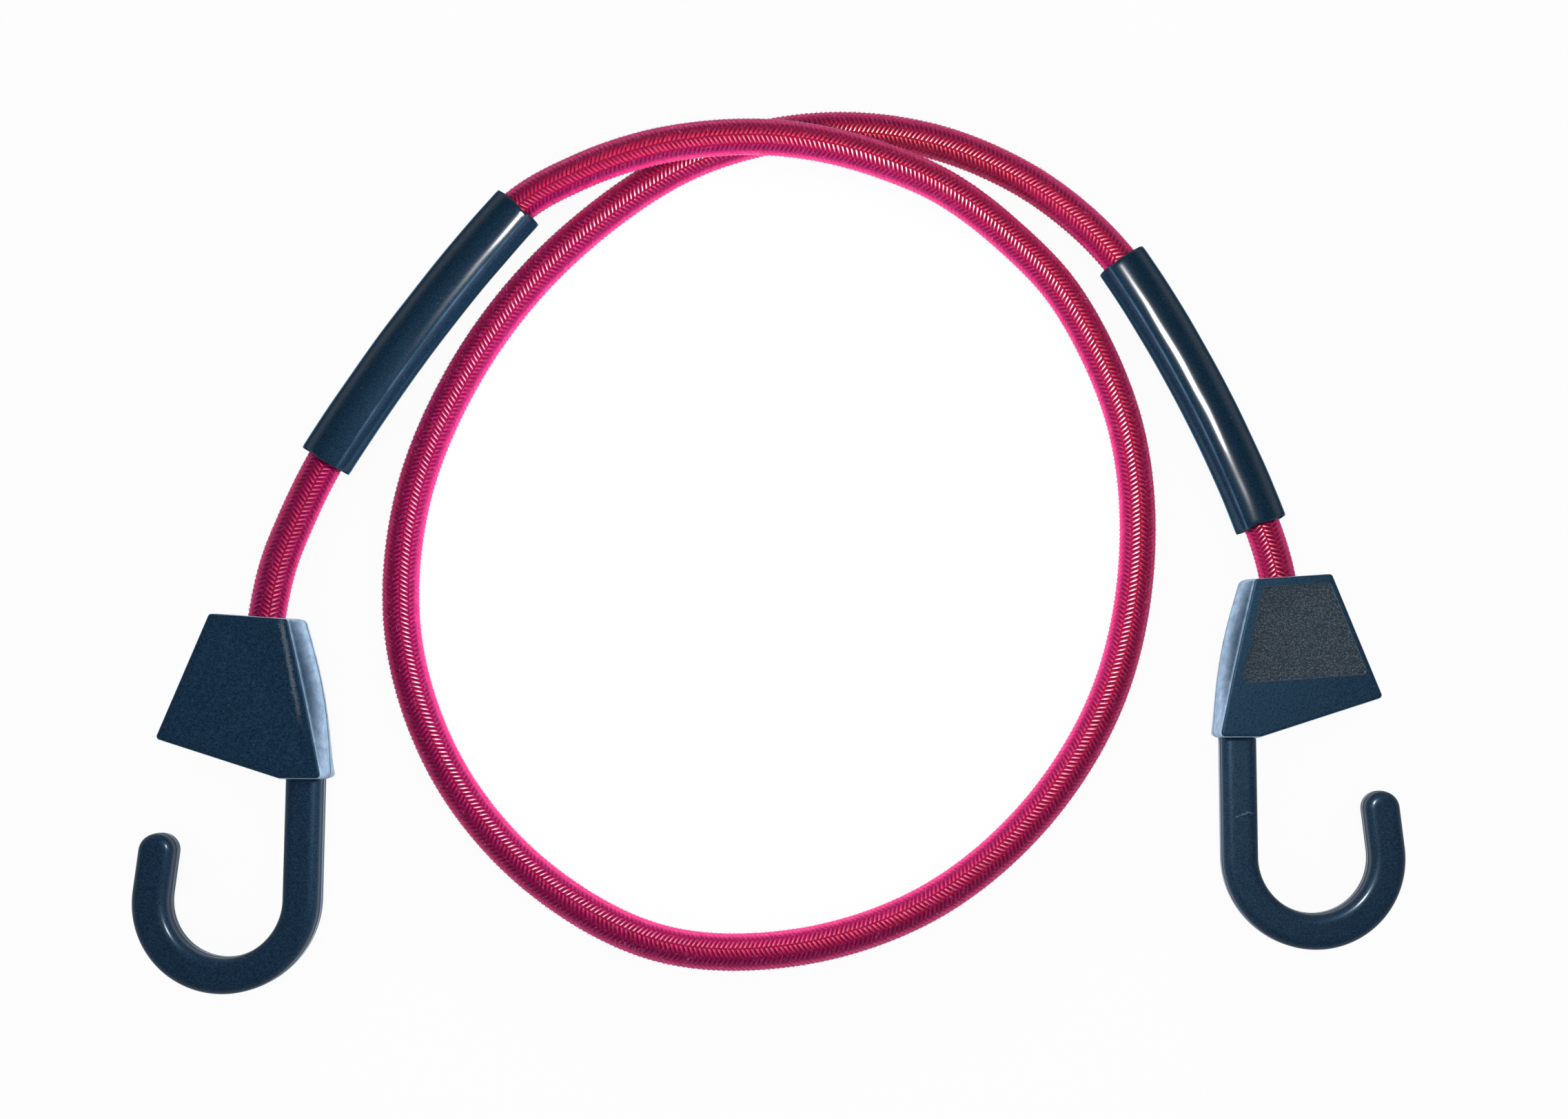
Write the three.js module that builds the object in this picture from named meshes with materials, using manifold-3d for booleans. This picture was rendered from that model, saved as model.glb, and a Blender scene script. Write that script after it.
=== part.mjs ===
// Tension strap: one elastic cord with a woven cover, a moulded hook at each end and a loose
// sleeve near each hook. It lies on the floor as a loop that crosses over itself.
// Millimetres, +Z up. The floor is z = 0 and the origin lies under the middle of the two
// hooks and sleeves. Both hooks are the same moulding, one lying on each of its two faces.

import * as THREE from 'three';
import { mergeVertices } from 'three/addons/utils/BufferGeometryUtils.js';
import Module from 'manifold-3d';

// Cord: a bundle of rubber strands in a woven cover
const coverDiameter = 8;
const coverWall = 0.8;
const coreClearance = 0.3;
const cordSides = 10;
const cordSteps = 72;

// Clearances that all pieces share
const seatGap = 0.3;
const cutOverrun = 1;

// Hook bar, bent like the letter J around the throat
const barWidth = 7.7;
const barThickness = 8;
const barEdgeRound = 1.3;
const throatRadius = 12.4;
const tipReach = 14.4;
const tipLean = THREE.MathUtils.degToRad(6);
const barCurveSteps = 11;
const barEdgeSteps = 2;

// Housing at the top of the shank, seen on its large face
const housingThickness = 13;
const shankLength = 26.1;
const shankStep = 1.75;
const footWidth = 37.1;
const footFlat = 9.9;
const footRise = 8.7;
const shankSideHeight = 35;
const headInset = 6.7;
const headWidth = 19.5;
const headRise = 1.3;
const wallBow = 1.2;
const faceBow = 0.2;
const faceHeadStep = 1.6;
const faceDraft = 0.65;
const faceEdge = 0.45;
const cornerRound = 1.5;
const cornerSteps = 4;
const bowSteps = 8;
const partingGap = 0.2;

// Recessed panel on the outer face of the cover shell
const panelDepth = 0.35;
const panelBorder = 2.3;
const panelRound = 0.9;
const panelFootShares = { shankSide: 0.25, tipSide: 0.09 };

// Inside of the housing
const shellWall = 1.7;
const roomRound = 0.6;
const shankRoot = 11;
const pegDiameter = 3;
const pegHeight = 3.2;
const pegClearance = 0.3;
const bossWall = 1.1;
const pegShares = [
  { across: 0.79, up: 0.385 },
  { across: 0.654, up: 0.86 },
  { across: 0.214, up: 0.455 },
];

// Cord inside the housing, on a line that leans towards the shank
const mouthFromHeadCorner = 8.5;
const cordLean = THREE.MathUtils.degToRad(4);
const cordBoreClearance = 0.45;
const cordInHousing = 22.6;
const mouthFlare = 0.7;
const mouthFlareDepth = 1.6;
const ferruleLength = 10;
const ferruleWall = 0.7;
const ferruleFromEnd = 1.6;
const ferruleClearance = 0.3;
const blockWall = 1.1;
const roundSides = 28;

// Sleeves, cut from soft tube that was pressed flat: it keeps two creases
const sleeveRadius = 5.9;
const sleeveWall = 0.55;
const creaseHeight = 0.4;
const creaseSpread = THREE.MathUtils.degToRad(40);
const creaseAngle = THREE.MathUtils.degToRad(48);
const sleeveSides = 30;
const sleeveSteps = 10;
const leftSleeve = { from: [-100.4, 27.3], to: [-58.5, 85.4], bow: 1.6 };
const rightSleeve = { from: [78.1, 73.6], to: [108.9, 13.3], bow: 2 };

// Where the throat of each hook lies on the floor
const hookSpacing = 237.7;
const leftHookY = -69.2;
const rightHookY = -60.2;

// Hand-chosen points of the cord on the floor, from the left housing to the right one
const route = [
  [-110.2, 3.6, 6.3],
  [-106.7, 13.6, 6.1],
  [-100.5, 27.2, 5.9],
  [-87.4, 48.2, 5.9],
  [-72.4, 68.9, 5.9],
  [-58.6, 85.4, 6.2],
  [-45, 92.8, 8],
  [-30, 97.4, 10.9],
  [-16, 99.5, 12.4],
  [-2, 99.9, 12.7],
  [11, 98.4, 12.3],
  [24, 95.2, 10.7],
  [38, 89.8, 7.8],
  [52, 80, 5.2],
  [66, 65, 4.2],
  [78.8, 36, 4.1],
  [81, 5, 4.1],
  [74, -25.5, 4.1],
  [57.5, -51.5, 4.1],
  [34, -70.5, 4.1],
  [5, -80, 4.1],
  [-25, -79, 4.1],
  [-52, -64.5, 4.1],
  [-72, -41.5, 4.1],
  [-82.5, -12.5, 4.1],
  [-81.5, 18, 4.1],
  [-70.5, 47, 4.1],
  [-52, 72.5, 4.1],
  [-26, 93.5, 4.1],
  [-6, 101.6, 4.1],
  [15, 104.3, 4.1],
  [36, 101.5, 4.1],
  [54.6, 93.8, 4.2],
  [68, 84, 5.1],
  [78.4, 72.8, 5.7],
  [89.3, 55.6, 5.9],
  [98.3, 38.7, 5.9],
  [105.3, 22.3, 5.9],
  [109.6, 11.6, 6.2],
];

// Places that follow from the sizes above
const barRadius = throatRadius + barWidth / 2;
const barCentre = housingThickness / 2;
const footLeft = -barRadius - barWidth / 2 - shankStep;
const housingCorners = {
  footShank: new THREE.Vector2(footLeft, shankLength),
  footMiddle: new THREE.Vector2(footLeft + footFlat, shankLength),
  footTip: new THREE.Vector2(footLeft + footWidth, shankLength + footRise),
  headTip: new THREE.Vector2(footLeft + headInset + headWidth, shankLength + shankSideHeight + headRise),
  headShank: new THREE.Vector2(footLeft + headInset, shankLength + shankSideHeight),
};
const headSlope = Math.atan2(headRise, headWidth);
const faceCorners = {
  ...housingCorners,
  headShank: housingCorners.headShank.clone().lerp(housingCorners.headTip, faceHeadStep / headWidth),
};
const cordRadius = coverDiameter / 2;
const boreRadius = cordRadius + cordBoreClearance;
const ferruleBore = cordRadius + seatGap;
const ferruleRadius = ferruleBore + ferruleWall;
const pocketRadius = ferruleRadius + ferruleClearance;
const ferruleEnd = cordInHousing - ferruleFromEnd;
const ferruleStart = ferruleEnd - ferruleLength;
const mouth = new THREE.Vector2(
  housingCorners.headShank.x + mouthFromHeadCorner * Math.cos(headSlope),
  housingCorners.headShank.y + mouthFromHeadCorner * Math.sin(headSlope),
);
const inward = new THREE.Vector2(Math.sin(cordLean), -Math.cos(cordLean));
const alongCord = (distance) => mouth.clone().addScaledVector(inward, distance);

const materials = {
  cover: new THREE.MeshStandardMaterial({ color: 0xc8124f, roughness: 0.55, metalness: 0 }),
  core: new THREE.MeshStandardMaterial({ color: 0xe3d8c3, roughness: 0.7, metalness: 0 }),
  plastic: new THREE.MeshStandardMaterial({ color: 0x18232e, roughness: 0.45, metalness: 0 }),
  sleeve: new THREE.MeshStandardMaterial({ color: 0x10202c, roughness: 0.2, metalness: 0 }),
  steel: new THREE.MeshStandardMaterial({ color: 0xb9bcc0, roughness: 0.35, metalness: 1 }),
};

// Solids: closed meshes to and from the boolean library

const wasm = await Module();
wasm.setup();

function solidOf(geometry) {
  const bare = geometry.clone();
  bare.deleteAttribute('normal');
  bare.deleteAttribute('uv');
  const merged = mergeVertices(bare);
  return new wasm.Manifold(new wasm.Mesh({
    numProp: 3,
    vertProperties: new Float32Array(merged.attributes.position.array),
    triVerts: new Uint32Array(merged.index.array),
  }));
}

function geometryOf(solid) {
  const mesh = solid.getMesh();
  const geometry = new THREE.BufferGeometry();
  geometry.setAttribute('position', new THREE.BufferAttribute(mesh.vertProperties, mesh.numProp));
  geometry.setIndex(new THREE.BufferAttribute(mesh.triVerts, 1));
  geometry.computeVertexNormals();
  return geometry;
}

function addMesh(parent, name, geometry, material) {
  const mesh = new THREE.Mesh(geometry, material);
  mesh.name = name;
  parent.add(mesh);
  return mesh;
}

// Outlines

function inset(outline, distance) {
  const count = outline.length;
  return outline.map((point, i) => {
    const into = point.clone().sub(outline[(i + count - 1) % count]).normalize();
    const away = outline[(i + 1) % count].clone().sub(point).normalize();
    const normal = new THREE.Vector2(-into.y - away.y, into.x + away.x).normalize();
    const reach = distance / (normal.x * -into.y + normal.y * into.x);
    return point.clone().addScaledVector(normal, reach);
  });
}

function roundedCorner(before, corner, after, radius) {
  const toBefore = before.clone().sub(corner).normalize();
  const toAfter = after.clone().sub(corner).normalize();
  const halfAngle = Math.acos(toBefore.dot(toAfter)) / 2;
  const centre = toBefore.clone().add(toAfter).normalize();
  centre.multiplyScalar(radius / Math.sin(halfAngle)).add(corner);
  const start = toBefore.multiplyScalar(radius / Math.tan(halfAngle)).add(corner).sub(centre);
  const sweep = Math.PI - 2 * halfAngle;
  const points = [];
  for (let i = 0; i <= cornerSteps; i += 1) {
    const turned = start.clone().rotateAround(new THREE.Vector2(), sweep * i / cornerSteps);
    points.push(turned.add(centre));
  }
  return points;
}

function roundedOutline(corners, radius) {
  const count = corners.length;
  return corners.flatMap((corner, i) => roundedCorner(
    corners[(i + count - 1) % count],
    corner,
    corners[(i + 1) % count],
    radius,
  ));
}

// An outline of the housing, with its shank side bowed outwards
function housingOutline(corners, bow) {
  const outline = roundedOutline(Object.values(corners), cornerRound);
  const start = outline[outline.length - 1];
  const end = outline[0];
  const side = end.clone().sub(start);
  const outwards = new THREE.Vector2(side.y, -side.x).normalize();
  for (let i = 1; i < bowSteps; i += 1) {
    const share = i / bowSteps;
    const point = start.clone().addScaledVector(side, share);
    outline.push(point.addScaledVector(outwards, bow * Math.sin(Math.PI * share)));
  }
  return outline;
}

// Geometries

function loft(rings) {
  const count = rings[0].length;
  const index = [];
  for (let ring = 0; ring < rings.length - 1; ring += 1) {
    for (let i = 0; i < count; i += 1) {
      const a = ring * count + i;
      const b = ring * count + (i + 1) % count;
      index.push(a, b, b + count, a, b + count, a + count);
    }
  }
  const last = (rings.length - 1) * count;
  for (let i = 1; i < count - 1; i += 1) {
    index.push(0, i + 1, i, last, last + i, last + i + 1);
  }
  const geometry = new THREE.BufferGeometry();
  const positions = rings.flat().flatMap((point) => point.toArray());
  geometry.setAttribute('position', new THREE.Float32BufferAttribute(positions, 3));
  geometry.setIndex(index);
  return geometry;
}

const ringAt = (outline, z) => outline.map((point) => new THREE.Vector3(point.x, point.y, z));

function prism(outline, bottom, top) {
  return loft([ringAt(outline, bottom), ringAt(outline, top)]);
}

function peg(centre, radius, bottom, top) {
  const geometry = new THREE.CylinderGeometry(radius, radius, top - bottom, roundSides);
  geometry.rotateX(Math.PI / 2);
  geometry.translate(centre.x, centre.y, (bottom + top) / 2);
  return geometry;
}

// A turned solid on the cord's line, from pairs of a radius and a distance in from the mouth
function turnedOnCordLine(profile) {
  const points = profile.map(([radius, distance]) => new THREE.Vector2(radius, -distance));
  const geometry = new THREE.LatheGeometry(points, roundSides);
  geometry.rotateZ(cordLean);
  geometry.translate(mouth.x, mouth.y, barCentre);
  return geometry;
}

// A straight-sided block around the cord's line
function blockOnCordLine(halfWidth, near, far) {
  const geometry = new THREE.BoxGeometry(2 * halfWidth, far - near, housingThickness);
  geometry.rotateZ(cordLean);
  const middle = alongCord((near + far) / 2);
  geometry.translate(middle.x, middle.y, barCentre);
  return geometry;
}

// Hook bar: down the shank, around the throat and up to a rounded, inward-leaning tip
function barGeometry() {
  const outer = barRadius + barWidth / 2;
  const shankTop = shankLength + shankRoot;
  const tipAlong = new THREE.Vector2(-Math.sin(tipLean), Math.cos(tipLean));
  const tipStart = new THREE.Vector2(barRadius * Math.cos(tipLean), barRadius * Math.sin(tipLean));
  const tipStraight = (tipReach - barWidth / 2 - tipStart.y) / tipAlong.y;
  const tip = tipStart.addScaledVector(tipAlong, tipStraight);
  const shape = new THREE.Shape();
  shape.moveTo(-outer, shankTop);
  shape.lineTo(-outer, 0);
  shape.absarc(0, 0, outer, Math.PI, 2 * Math.PI + tipLean, false);
  shape.absarc(tip.x, tip.y, barWidth / 2, tipLean, Math.PI + tipLean, false);
  shape.absarc(0, 0, throatRadius, tipLean, -Math.PI, true);
  shape.lineTo(-throatRadius, shankTop);
  shape.closePath();
  const geometry = new THREE.ExtrudeGeometry(shape, {
    depth: barThickness - 2 * barEdgeRound,
    bevelThickness: barEdgeRound,
    bevelSize: barEdgeRound,
    bevelOffset: -barEdgeRound,
    bevelSegments: barEdgeSteps,
    curveSegments: barCurveSteps,
  });
  geometry.translate(0, 0, barCentre - barThickness / 2 + barEdgeRound);
  return geometry;
}

// What the shells keep inside their walls: the cord's block, the shank's root and the bosses
function pegCentres() {
  const { footShank, footTip, headShank } = housingCorners;
  return pegShares.map(({ across, up }) => new THREE.Vector2(
    THREE.MathUtils.lerp(footShank.x, footTip.x, across),
    THREE.MathUtils.lerp(footShank.y, headShank.y, up),
  ));
}

function shellCavity(bottom, top) {
  const room = roundedOutline(inset(Object.values(faceCorners), faceDraft + shellWall), roomRound);
  const blockEnd = cordInHousing + seatGap + blockWall;
  const rootWidth = barWidth + 2 * cutOverrun;
  const rootHeight = shankRoot + cutOverrun;
  const root = new THREE.BoxGeometry(rootWidth, rootHeight, housingThickness);
  root.translate(-barRadius, shankLength + rootHeight / 2 - cutOverrun, barCentre);
  const kept = [
    blockOnCordLine(pocketRadius + blockWall, -cutOverrun, blockEnd),
    root,
    ...pegCentres().map((centre) => peg(centre, pegDiameter / 2 + bossWall, 0, housingThickness)),
  ];
  return kept.reduce(
    (space, geometry) => space.subtract(solidOf(geometry)),
    solidOf(prism(room, bottom, top)),
  );
}

// The way in for the cord: a flared mouth, the bore and the ferrule's pocket
function cordPassage() {
  const outside = -headRise - cutOverrun;
  const flareOutside = mouthFlare * (mouthFlareDepth - outside) / mouthFlareDepth;
  const pocketStart = ferruleStart - seatGap;
  const pocketEnd = ferruleEnd + seatGap;
  return solidOf(turnedOnCordLine([
    [0, cordInHousing + seatGap],
    [boreRadius, cordInHousing + seatGap],
    [boreRadius, pocketEnd],
    [pocketRadius, pocketEnd],
    [pocketRadius, pocketStart],
    [boreRadius, pocketStart],
    [boreRadius, mouthFlareDepth],
    [boreRadius + flareOutside, outside],
    [0, outside],
  ]));
}

const faceOutline = inset(housingOutline(faceCorners, faceBow), faceDraft);
const faceRim = inset(faceOutline, faceEdge);
const partingOutline = housingOutline(housingCorners, wallBow);
const bodyTop = barCentre - partingGap / 2;
const coverBottom = barCentre + partingGap / 2;

// Hook moulding: the bar with one half shell of the housing and three pegs
function hookBody() {
  const shell = loft([
    ringAt(faceRim, 0),
    ringAt(faceOutline, faceEdge),
    ringAt(partingOutline, bodyTop),
  ]);
  const coverSide = new THREE.BoxGeometry(footWidth, shankSideHeight, housingThickness);
  coverSide.translate(-barRadius, shankLength - seatGap + shankSideHeight / 2, bodyTop + housingThickness / 2);
  const bar = solidOf(barGeometry()).subtract(solidOf(coverSide));
  const hollow = shellCavity(shellWall, housingThickness).add(cordPassage());
  const pegs = pegCentres().map((centre) => {
    return peg(centre, pegDiameter / 2, shellWall, coverBottom + pegHeight);
  });
  return pegs.reduce(
    (all, geometry) => all.add(solidOf(geometry)),
    solidOf(shell).add(bar).subtract(hollow),
  );
}

// Cover moulding: the other half shell, with sockets for the pegs and a recessed panel
function panelOutline() {
  const { footShank, footTip, headTip, headShank } = faceCorners;
  const corners = [
    footShank.clone().lerp(headShank, panelFootShares.shankSide),
    footTip.clone().lerp(headTip, panelFootShares.tipSide),
    headTip,
    headShank,
  ];
  return roundedOutline(inset(corners, faceDraft + panelBorder), panelRound);
}

function hookCover() {
  const shell = loft([
    ringAt(partingOutline, coverBottom),
    ringAt(faceOutline, housingThickness - faceEdge),
    ringAt(faceRim, housingThickness),
  ]);
  const panel = prism(panelOutline(), housingThickness - panelDepth, housingThickness + cutOverrun);
  const sockets = pegCentres().map((centre) => {
    const top = coverBottom + pegHeight + pegClearance;
    return peg(centre, pegDiameter / 2 + pegClearance, barCentre - cutOverrun, top);
  });
  const cuts = [panel, ...sockets].map(solidOf);
  const hollow = shellCavity(0, housingThickness - shellWall - panelDepth).add(cordPassage());
  return cuts.reduce((all, cut) => all.subtract(cut), solidOf(shell).subtract(hollow));
}

// Crimped steel ring that keeps the cord's end in its pocket
function ferruleGeometry() {
  return turnedOnCordLine([
    [ferruleBore, ferruleStart],
    [ferruleBore, ferruleEnd],
    [ferruleRadius, ferruleEnd],
    [ferruleRadius, ferruleStart],
    [ferruleBore, ferruleStart],
  ]);
}

function hook(side) {
  const group = new THREE.Group();
  addMesh(group, `hook_${side}`, geometryOf(hookBody()), materials.plastic);
  addMesh(group, `hook_cover_${side}`, geometryOf(hookCover()), materials.plastic);
  addMesh(group, `cord_ferrule_${side}`, ferruleGeometry(), materials.steel);
  return group;
}

// Sleeves: a creased tube along a slightly bowed axis
function sleeveOutline() {
  const points = [];
  for (let i = 0; i < sleeveSides; i += 1) {
    const angle = 2 * Math.PI * i / sleeveSides;
    const fromCrease = Math.abs(Math.asin(Math.sin(angle - creaseAngle)));
    const crease = Math.max(0, 1 - fromCrease / creaseSpread) ** 2;
    const radius = sleeveRadius + creaseHeight * crease;
    points.push(new THREE.Vector2(radius * Math.cos(angle), radius * Math.sin(angle)));
  }
  return points;
}

function sleeveGeometry({ from, to, bow }) {
  const outline = sleeveOutline();
  const lowest = Math.min(...outline.map((point) => point.y));
  const start = new THREE.Vector3(...from, -lowest);
  const end = new THREE.Vector3(...to, -lowest);
  const run = end.clone().sub(start);
  const sideways = new THREE.Vector3(run.y, -run.x, 0).normalize();
  const control = start.clone().lerp(end, 0.5).addScaledVector(sideways, -2 * bow);
  const axis = new THREE.QuadraticBezierCurve3(start, control, end);
  // The extrusion lays a shape's x downwards and its y to the left of the path
  const turned = (points) => points.map((point) => new THREE.Vector2(-point.y, -point.x)).reverse();
  const shape = new THREE.Shape(turned(outline));
  shape.holes.push(new THREE.Path(turned(inset(outline, sleeveWall))));
  return new THREE.ExtrudeGeometry(shape, { steps: sleeveSteps, extrudePath: axis });
}

// Cord: both housings' straight ends, with the free route between them
const hookPlaces = {
  left: { x: -hookSpacing / 2, y: leftHookY, mirror: -1 },
  right: { x: hookSpacing / 2, y: rightHookY, mirror: 1 },
};

function cordEnd({ x, y, mirror }) {
  return [cordInHousing, cordInHousing / 2, 0].map((distance) => {
    const point = alongCord(distance);
    return new THREE.Vector3(x + mirror * point.x, y + point.y, barCentre);
  });
}

const cordPath = new THREE.CatmullRomCurve3([
  ...cordEnd(hookPlaces.left),
  ...route.map((point) => new THREE.Vector3(...point)),
  ...cordEnd(hookPlaces.right).reverse(),
], false, 'centripetal');

function circle(radius) {
  const points = [];
  for (let i = 0; i < cordSides; i += 1) {
    const angle = 2 * Math.PI * i / cordSides;
    points.push(new THREE.Vector2(radius * Math.cos(angle), radius * Math.sin(angle)));
  }
  return points;
}

function cordGeometry(radius, bore) {
  const shape = new THREE.Shape(circle(radius));
  if (bore > 0) {
    shape.holes.push(new THREE.Path(circle(bore)));
  }
  return new THREE.ExtrudeGeometry(shape, { steps: cordSteps, extrudePath: cordPath });
}

// The strap

const strap = new THREE.Group();
const coverBore = cordRadius - coverWall;
addMesh(strap, 'cord_cover', cordGeometry(cordRadius, coverBore), materials.cover);
addMesh(strap, 'cord_core', cordGeometry(coverBore - coreClearance, 0), materials.core);

const rightHook = hook('right');
rightHook.position.set(hookPlaces.right.x, hookPlaces.right.y, 0);
strap.add(rightHook);

const leftHook = hook('left');
leftHook.rotation.y = Math.PI;
leftHook.position.set(hookPlaces.left.x, hookPlaces.left.y, housingThickness);
strap.add(leftHook);

addMesh(strap, 'sleeve_left', sleeveGeometry(leftSleeve), materials.sleeve);
addMesh(strap, 'sleeve_right', sleeveGeometry(rightSleeve), materials.sleeve);

export default strap;
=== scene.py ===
import math

import bmesh
import bpy
import numpy as np
from mathutils import Matrix, Vector


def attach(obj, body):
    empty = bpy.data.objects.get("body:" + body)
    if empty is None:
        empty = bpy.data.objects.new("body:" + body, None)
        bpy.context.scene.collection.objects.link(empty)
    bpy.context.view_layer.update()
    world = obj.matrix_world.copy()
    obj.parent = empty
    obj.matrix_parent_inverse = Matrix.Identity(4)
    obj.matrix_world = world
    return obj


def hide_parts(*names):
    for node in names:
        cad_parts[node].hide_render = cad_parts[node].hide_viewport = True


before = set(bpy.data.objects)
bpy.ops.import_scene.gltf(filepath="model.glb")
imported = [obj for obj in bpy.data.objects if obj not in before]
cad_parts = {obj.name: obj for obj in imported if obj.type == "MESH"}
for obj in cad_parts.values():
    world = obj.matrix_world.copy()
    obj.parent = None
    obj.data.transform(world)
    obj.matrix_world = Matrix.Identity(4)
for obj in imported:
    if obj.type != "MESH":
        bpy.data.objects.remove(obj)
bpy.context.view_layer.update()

MM = 0.001
SEAM_JOIN = 1e-6
VERT_JOIN = 1e-7
LEAST_EDGE = 1e-8
SHARP_ANGLE = math.radians(32)

# Cord and its woven cover

CORD_IN_HOUSING = 22.6 * MM
CORD_LINE_STEPS = 24
COVER_RADIUS = 3.9 * MM
COLUMNS = 12
SIDES_PER_COLUMN = 4
FIRST_COLUMN_ANGLE = math.radians(-23)
TWIST_PER_METRE = math.radians(79)
YARN_SPACING = 1.05 * MM
YARN_RISE = 0.2 * MM
YARN_DIP = 0.15 * MM
YARN_FLATNESS = 0.17
FUZZ_PER_SQUARE_METRE = 900000.0
FUZZ_LENGTH = 0.9 * MM
FUZZ_THICKNESS = 0.035 * MM
FUZZ_SPREAD = 1.1
FUZZ_LEAST_TILT = -0.25
FUZZ_CLEAR_RADIUS = 1.2 * COVER_RADIUS
FUZZ_SEED = 4
CORD_ROUTE = [
    (-0.1102, 0.0036, 0.0063), (-0.1067, 0.0136, 0.0061), (-0.1005, 0.0272, 0.0059),
    (-0.0874, 0.0482, 0.0059), (-0.0724, 0.0689, 0.0059), (-0.0586, 0.0854, 0.0062),
    (-0.045, 0.0928, 0.008), (-0.03, 0.0974, 0.0109), (-0.016, 0.0995, 0.0124),
    (-0.002, 0.0999, 0.0127), (0.011, 0.0984, 0.0123), (0.024, 0.0952, 0.0107),
    (0.038, 0.0898, 0.0078), (0.052, 0.08, 0.0052), (0.066, 0.065, 0.0042),
    (0.0788, 0.036, 0.0041), (0.081, 0.005, 0.0041), (0.074, -0.0255, 0.0041),
    (0.0575, -0.0515, 0.0041), (0.034, -0.0705, 0.0041), (0.005, -0.08, 0.0041),
    (-0.025, -0.079, 0.0041), (-0.052, -0.0645, 0.0041), (-0.072, -0.0415, 0.0041),
    (-0.0825, -0.0125, 0.0041), (-0.0815, 0.018, 0.0041), (-0.0705, 0.047, 0.0041),
    (-0.052, 0.0725, 0.0041), (-0.026, 0.0935, 0.0041), (-0.006, 0.1016, 0.0041),
    (0.015, 0.1043, 0.0041), (0.036, 0.1015, 0.0041), (0.0546, 0.0938, 0.0042),
    (0.068, 0.084, 0.0051), (0.0784, 0.0728, 0.0057), (0.0893, 0.0556, 0.0059),
    (0.0983, 0.0387, 0.0059), (0.1053, 0.0223, 0.0059), (0.1096, 0.0116, 0.0062),
]

# Hooks, in the flat frame of one moulding: the throat's middle at the origin, the shank to the left

HOOK_SPACING = 237.7 * MM
LEFT_HOOK_Y = -69.2 * MM
RIGHT_HOOK_Y = -60.2 * MM
BAR_WIDTH = 7.7 * MM
BAR_THICKNESS = 8.0 * MM
BAR_EDGE_ROUND = 2.1 * MM
BAR_EDGE_STEPS = 9
BAR_EDGE_BORDER = 0.5 * MM
BAR_SEAM = 0.07 * MM
BAR_SEAM_HALF = 0.25 * MM
THROAT_RADIUS = 12.4 * MM
TIP_REACH = 14.4 * MM
TIP_LEAN = math.radians(6)
SHANK_ROWS = 12
OUTER_STEPS = 80
TIP_STEPS = 28
THROAT_STEPS = 64
HOUSING_THICKNESS = 13.0 * MM
SHANK_LENGTH = 26.1 * MM
SHANK_STEP = 1.75 * MM
SHANK_ROOT = 7.0 * MM
FOOT_GAP = 0.05 * MM
FOOT_WIDTH = 37.1 * MM
FOOT_FLAT = 9.9 * MM
FOOT_RISE = 8.7 * MM
SHANK_SIDE_HEIGHT = 35.0 * MM
HEAD_INSET = 6.7 * MM
HEAD_WIDTH = 19.5 * MM
HEAD_RISE = 1.3 * MM
WALL_BOW = 1.2 * MM
FACE_BOW = 0.2 * MM
FACE_HEAD_STEP = 1.6 * MM
FACE_DRAFT = 0.65 * MM
THIN_DRAFT = 0.25 * MM
FACE_EDGE = 0.45 * MM
FACE_EDGE_BORDER = 0.3 * MM
FACE_RIM = 1.9 * MM
FACE_RIM_BORDER = 0.2 * MM
FACE_SLOPE = 1.1 * MM
FACE_SINK = 0.12 * MM
LIP_ROUND = 0.25 * MM
LIP_BORDER = 0.2 * MM
CORNER_ROUND = 1.5 * MM
CORNER_ROUND_LEAST = 0.4 * MM
CORNER_STEPS = 8
FACE_EDGE_STEPS = 5
LIP_STEPS = 3
WALL_STEPS = 12
BOW_STEPS = 24
PARTING_GAP = 0.2 * MM
PANEL_DEPTH = 0.35 * MM
PANEL_BORDERS = (2.9 * MM, 1.4 * MM, 2.1 * MM, 2.8 * MM)
PANEL_ROUND = 0.9 * MM
PANEL_FOOT_SHARES = (0.25, 0.09)
PANEL_LEAST_TILT = 0.02
PANEL_FLAT_TILT = 0.99
MOUTH_FROM_HEAD_CORNER = 8.5 * MM
CORD_LEAN = math.radians(4)
BORE_RADIUS = 4.45 * MM
BORE_SIDES = 64
POCKET_RADIUS = 5.3 * MM
POCKET = (10.7 * MM, 21.3 * MM)
MOUTH_FLARE = 0.7 * MM
MOUTH_FLARE_DEPTH = 1.6 * MM
SEAT_GAP = 0.3 * MM
CUT_OVERRUN = 1.0 * MM
HAIR = 0.01 * MM

# Painted sheen: pale streaks on the left hook's face and the right hook's shank, each with its start and end
# seen from above, its width and the lowest height it reaches
SHEEN_STREAKS = [
    ((-0.1075, -0.0074), (-0.1022, -0.0325), 0.9 * MM, 0.0128),
    ((0.1009, -0.0516), (0.1047, -0.0501), 0.25 * MM, 0.0103),
    ((0.1036, -0.0502), (0.1056, -0.0507), 0.2 * MM, 0.0103),
]

# Sleeves

SLEEVE_RADIUS = 5.9 * MM
SLEEVE_WALL = 0.55 * MM
SLEEVE_SLIDE = 7.0 * MM
SLEEVE_LIP = 0.06 * MM
SLEEVE_RIPPLE = 0.25 * MM
SLEEVE_CUT = 1.2 * MM
SLEEVE_ROWS = 91
SLEEVE_SIDES = 120
SLEEVE_LINE_STEPS = 120
CREASE_HEIGHT = 0.4 * MM
CREASE_SPREAD = math.radians(40)
CREASE_ANGLE = math.radians(48)
SLEEVES = {
    "sleeve_left": {"start": (-0.1004, 0.0273), "end": (-0.0585, 0.0854), "bow": 1.6 * MM, "seed": 2.0},
    "sleeve_right": {"start": (0.0781, 0.0736), "end": (0.1089, 0.0133), "bow": 2.0 * MM, "seed": 5.0},
}

# Colours

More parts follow.
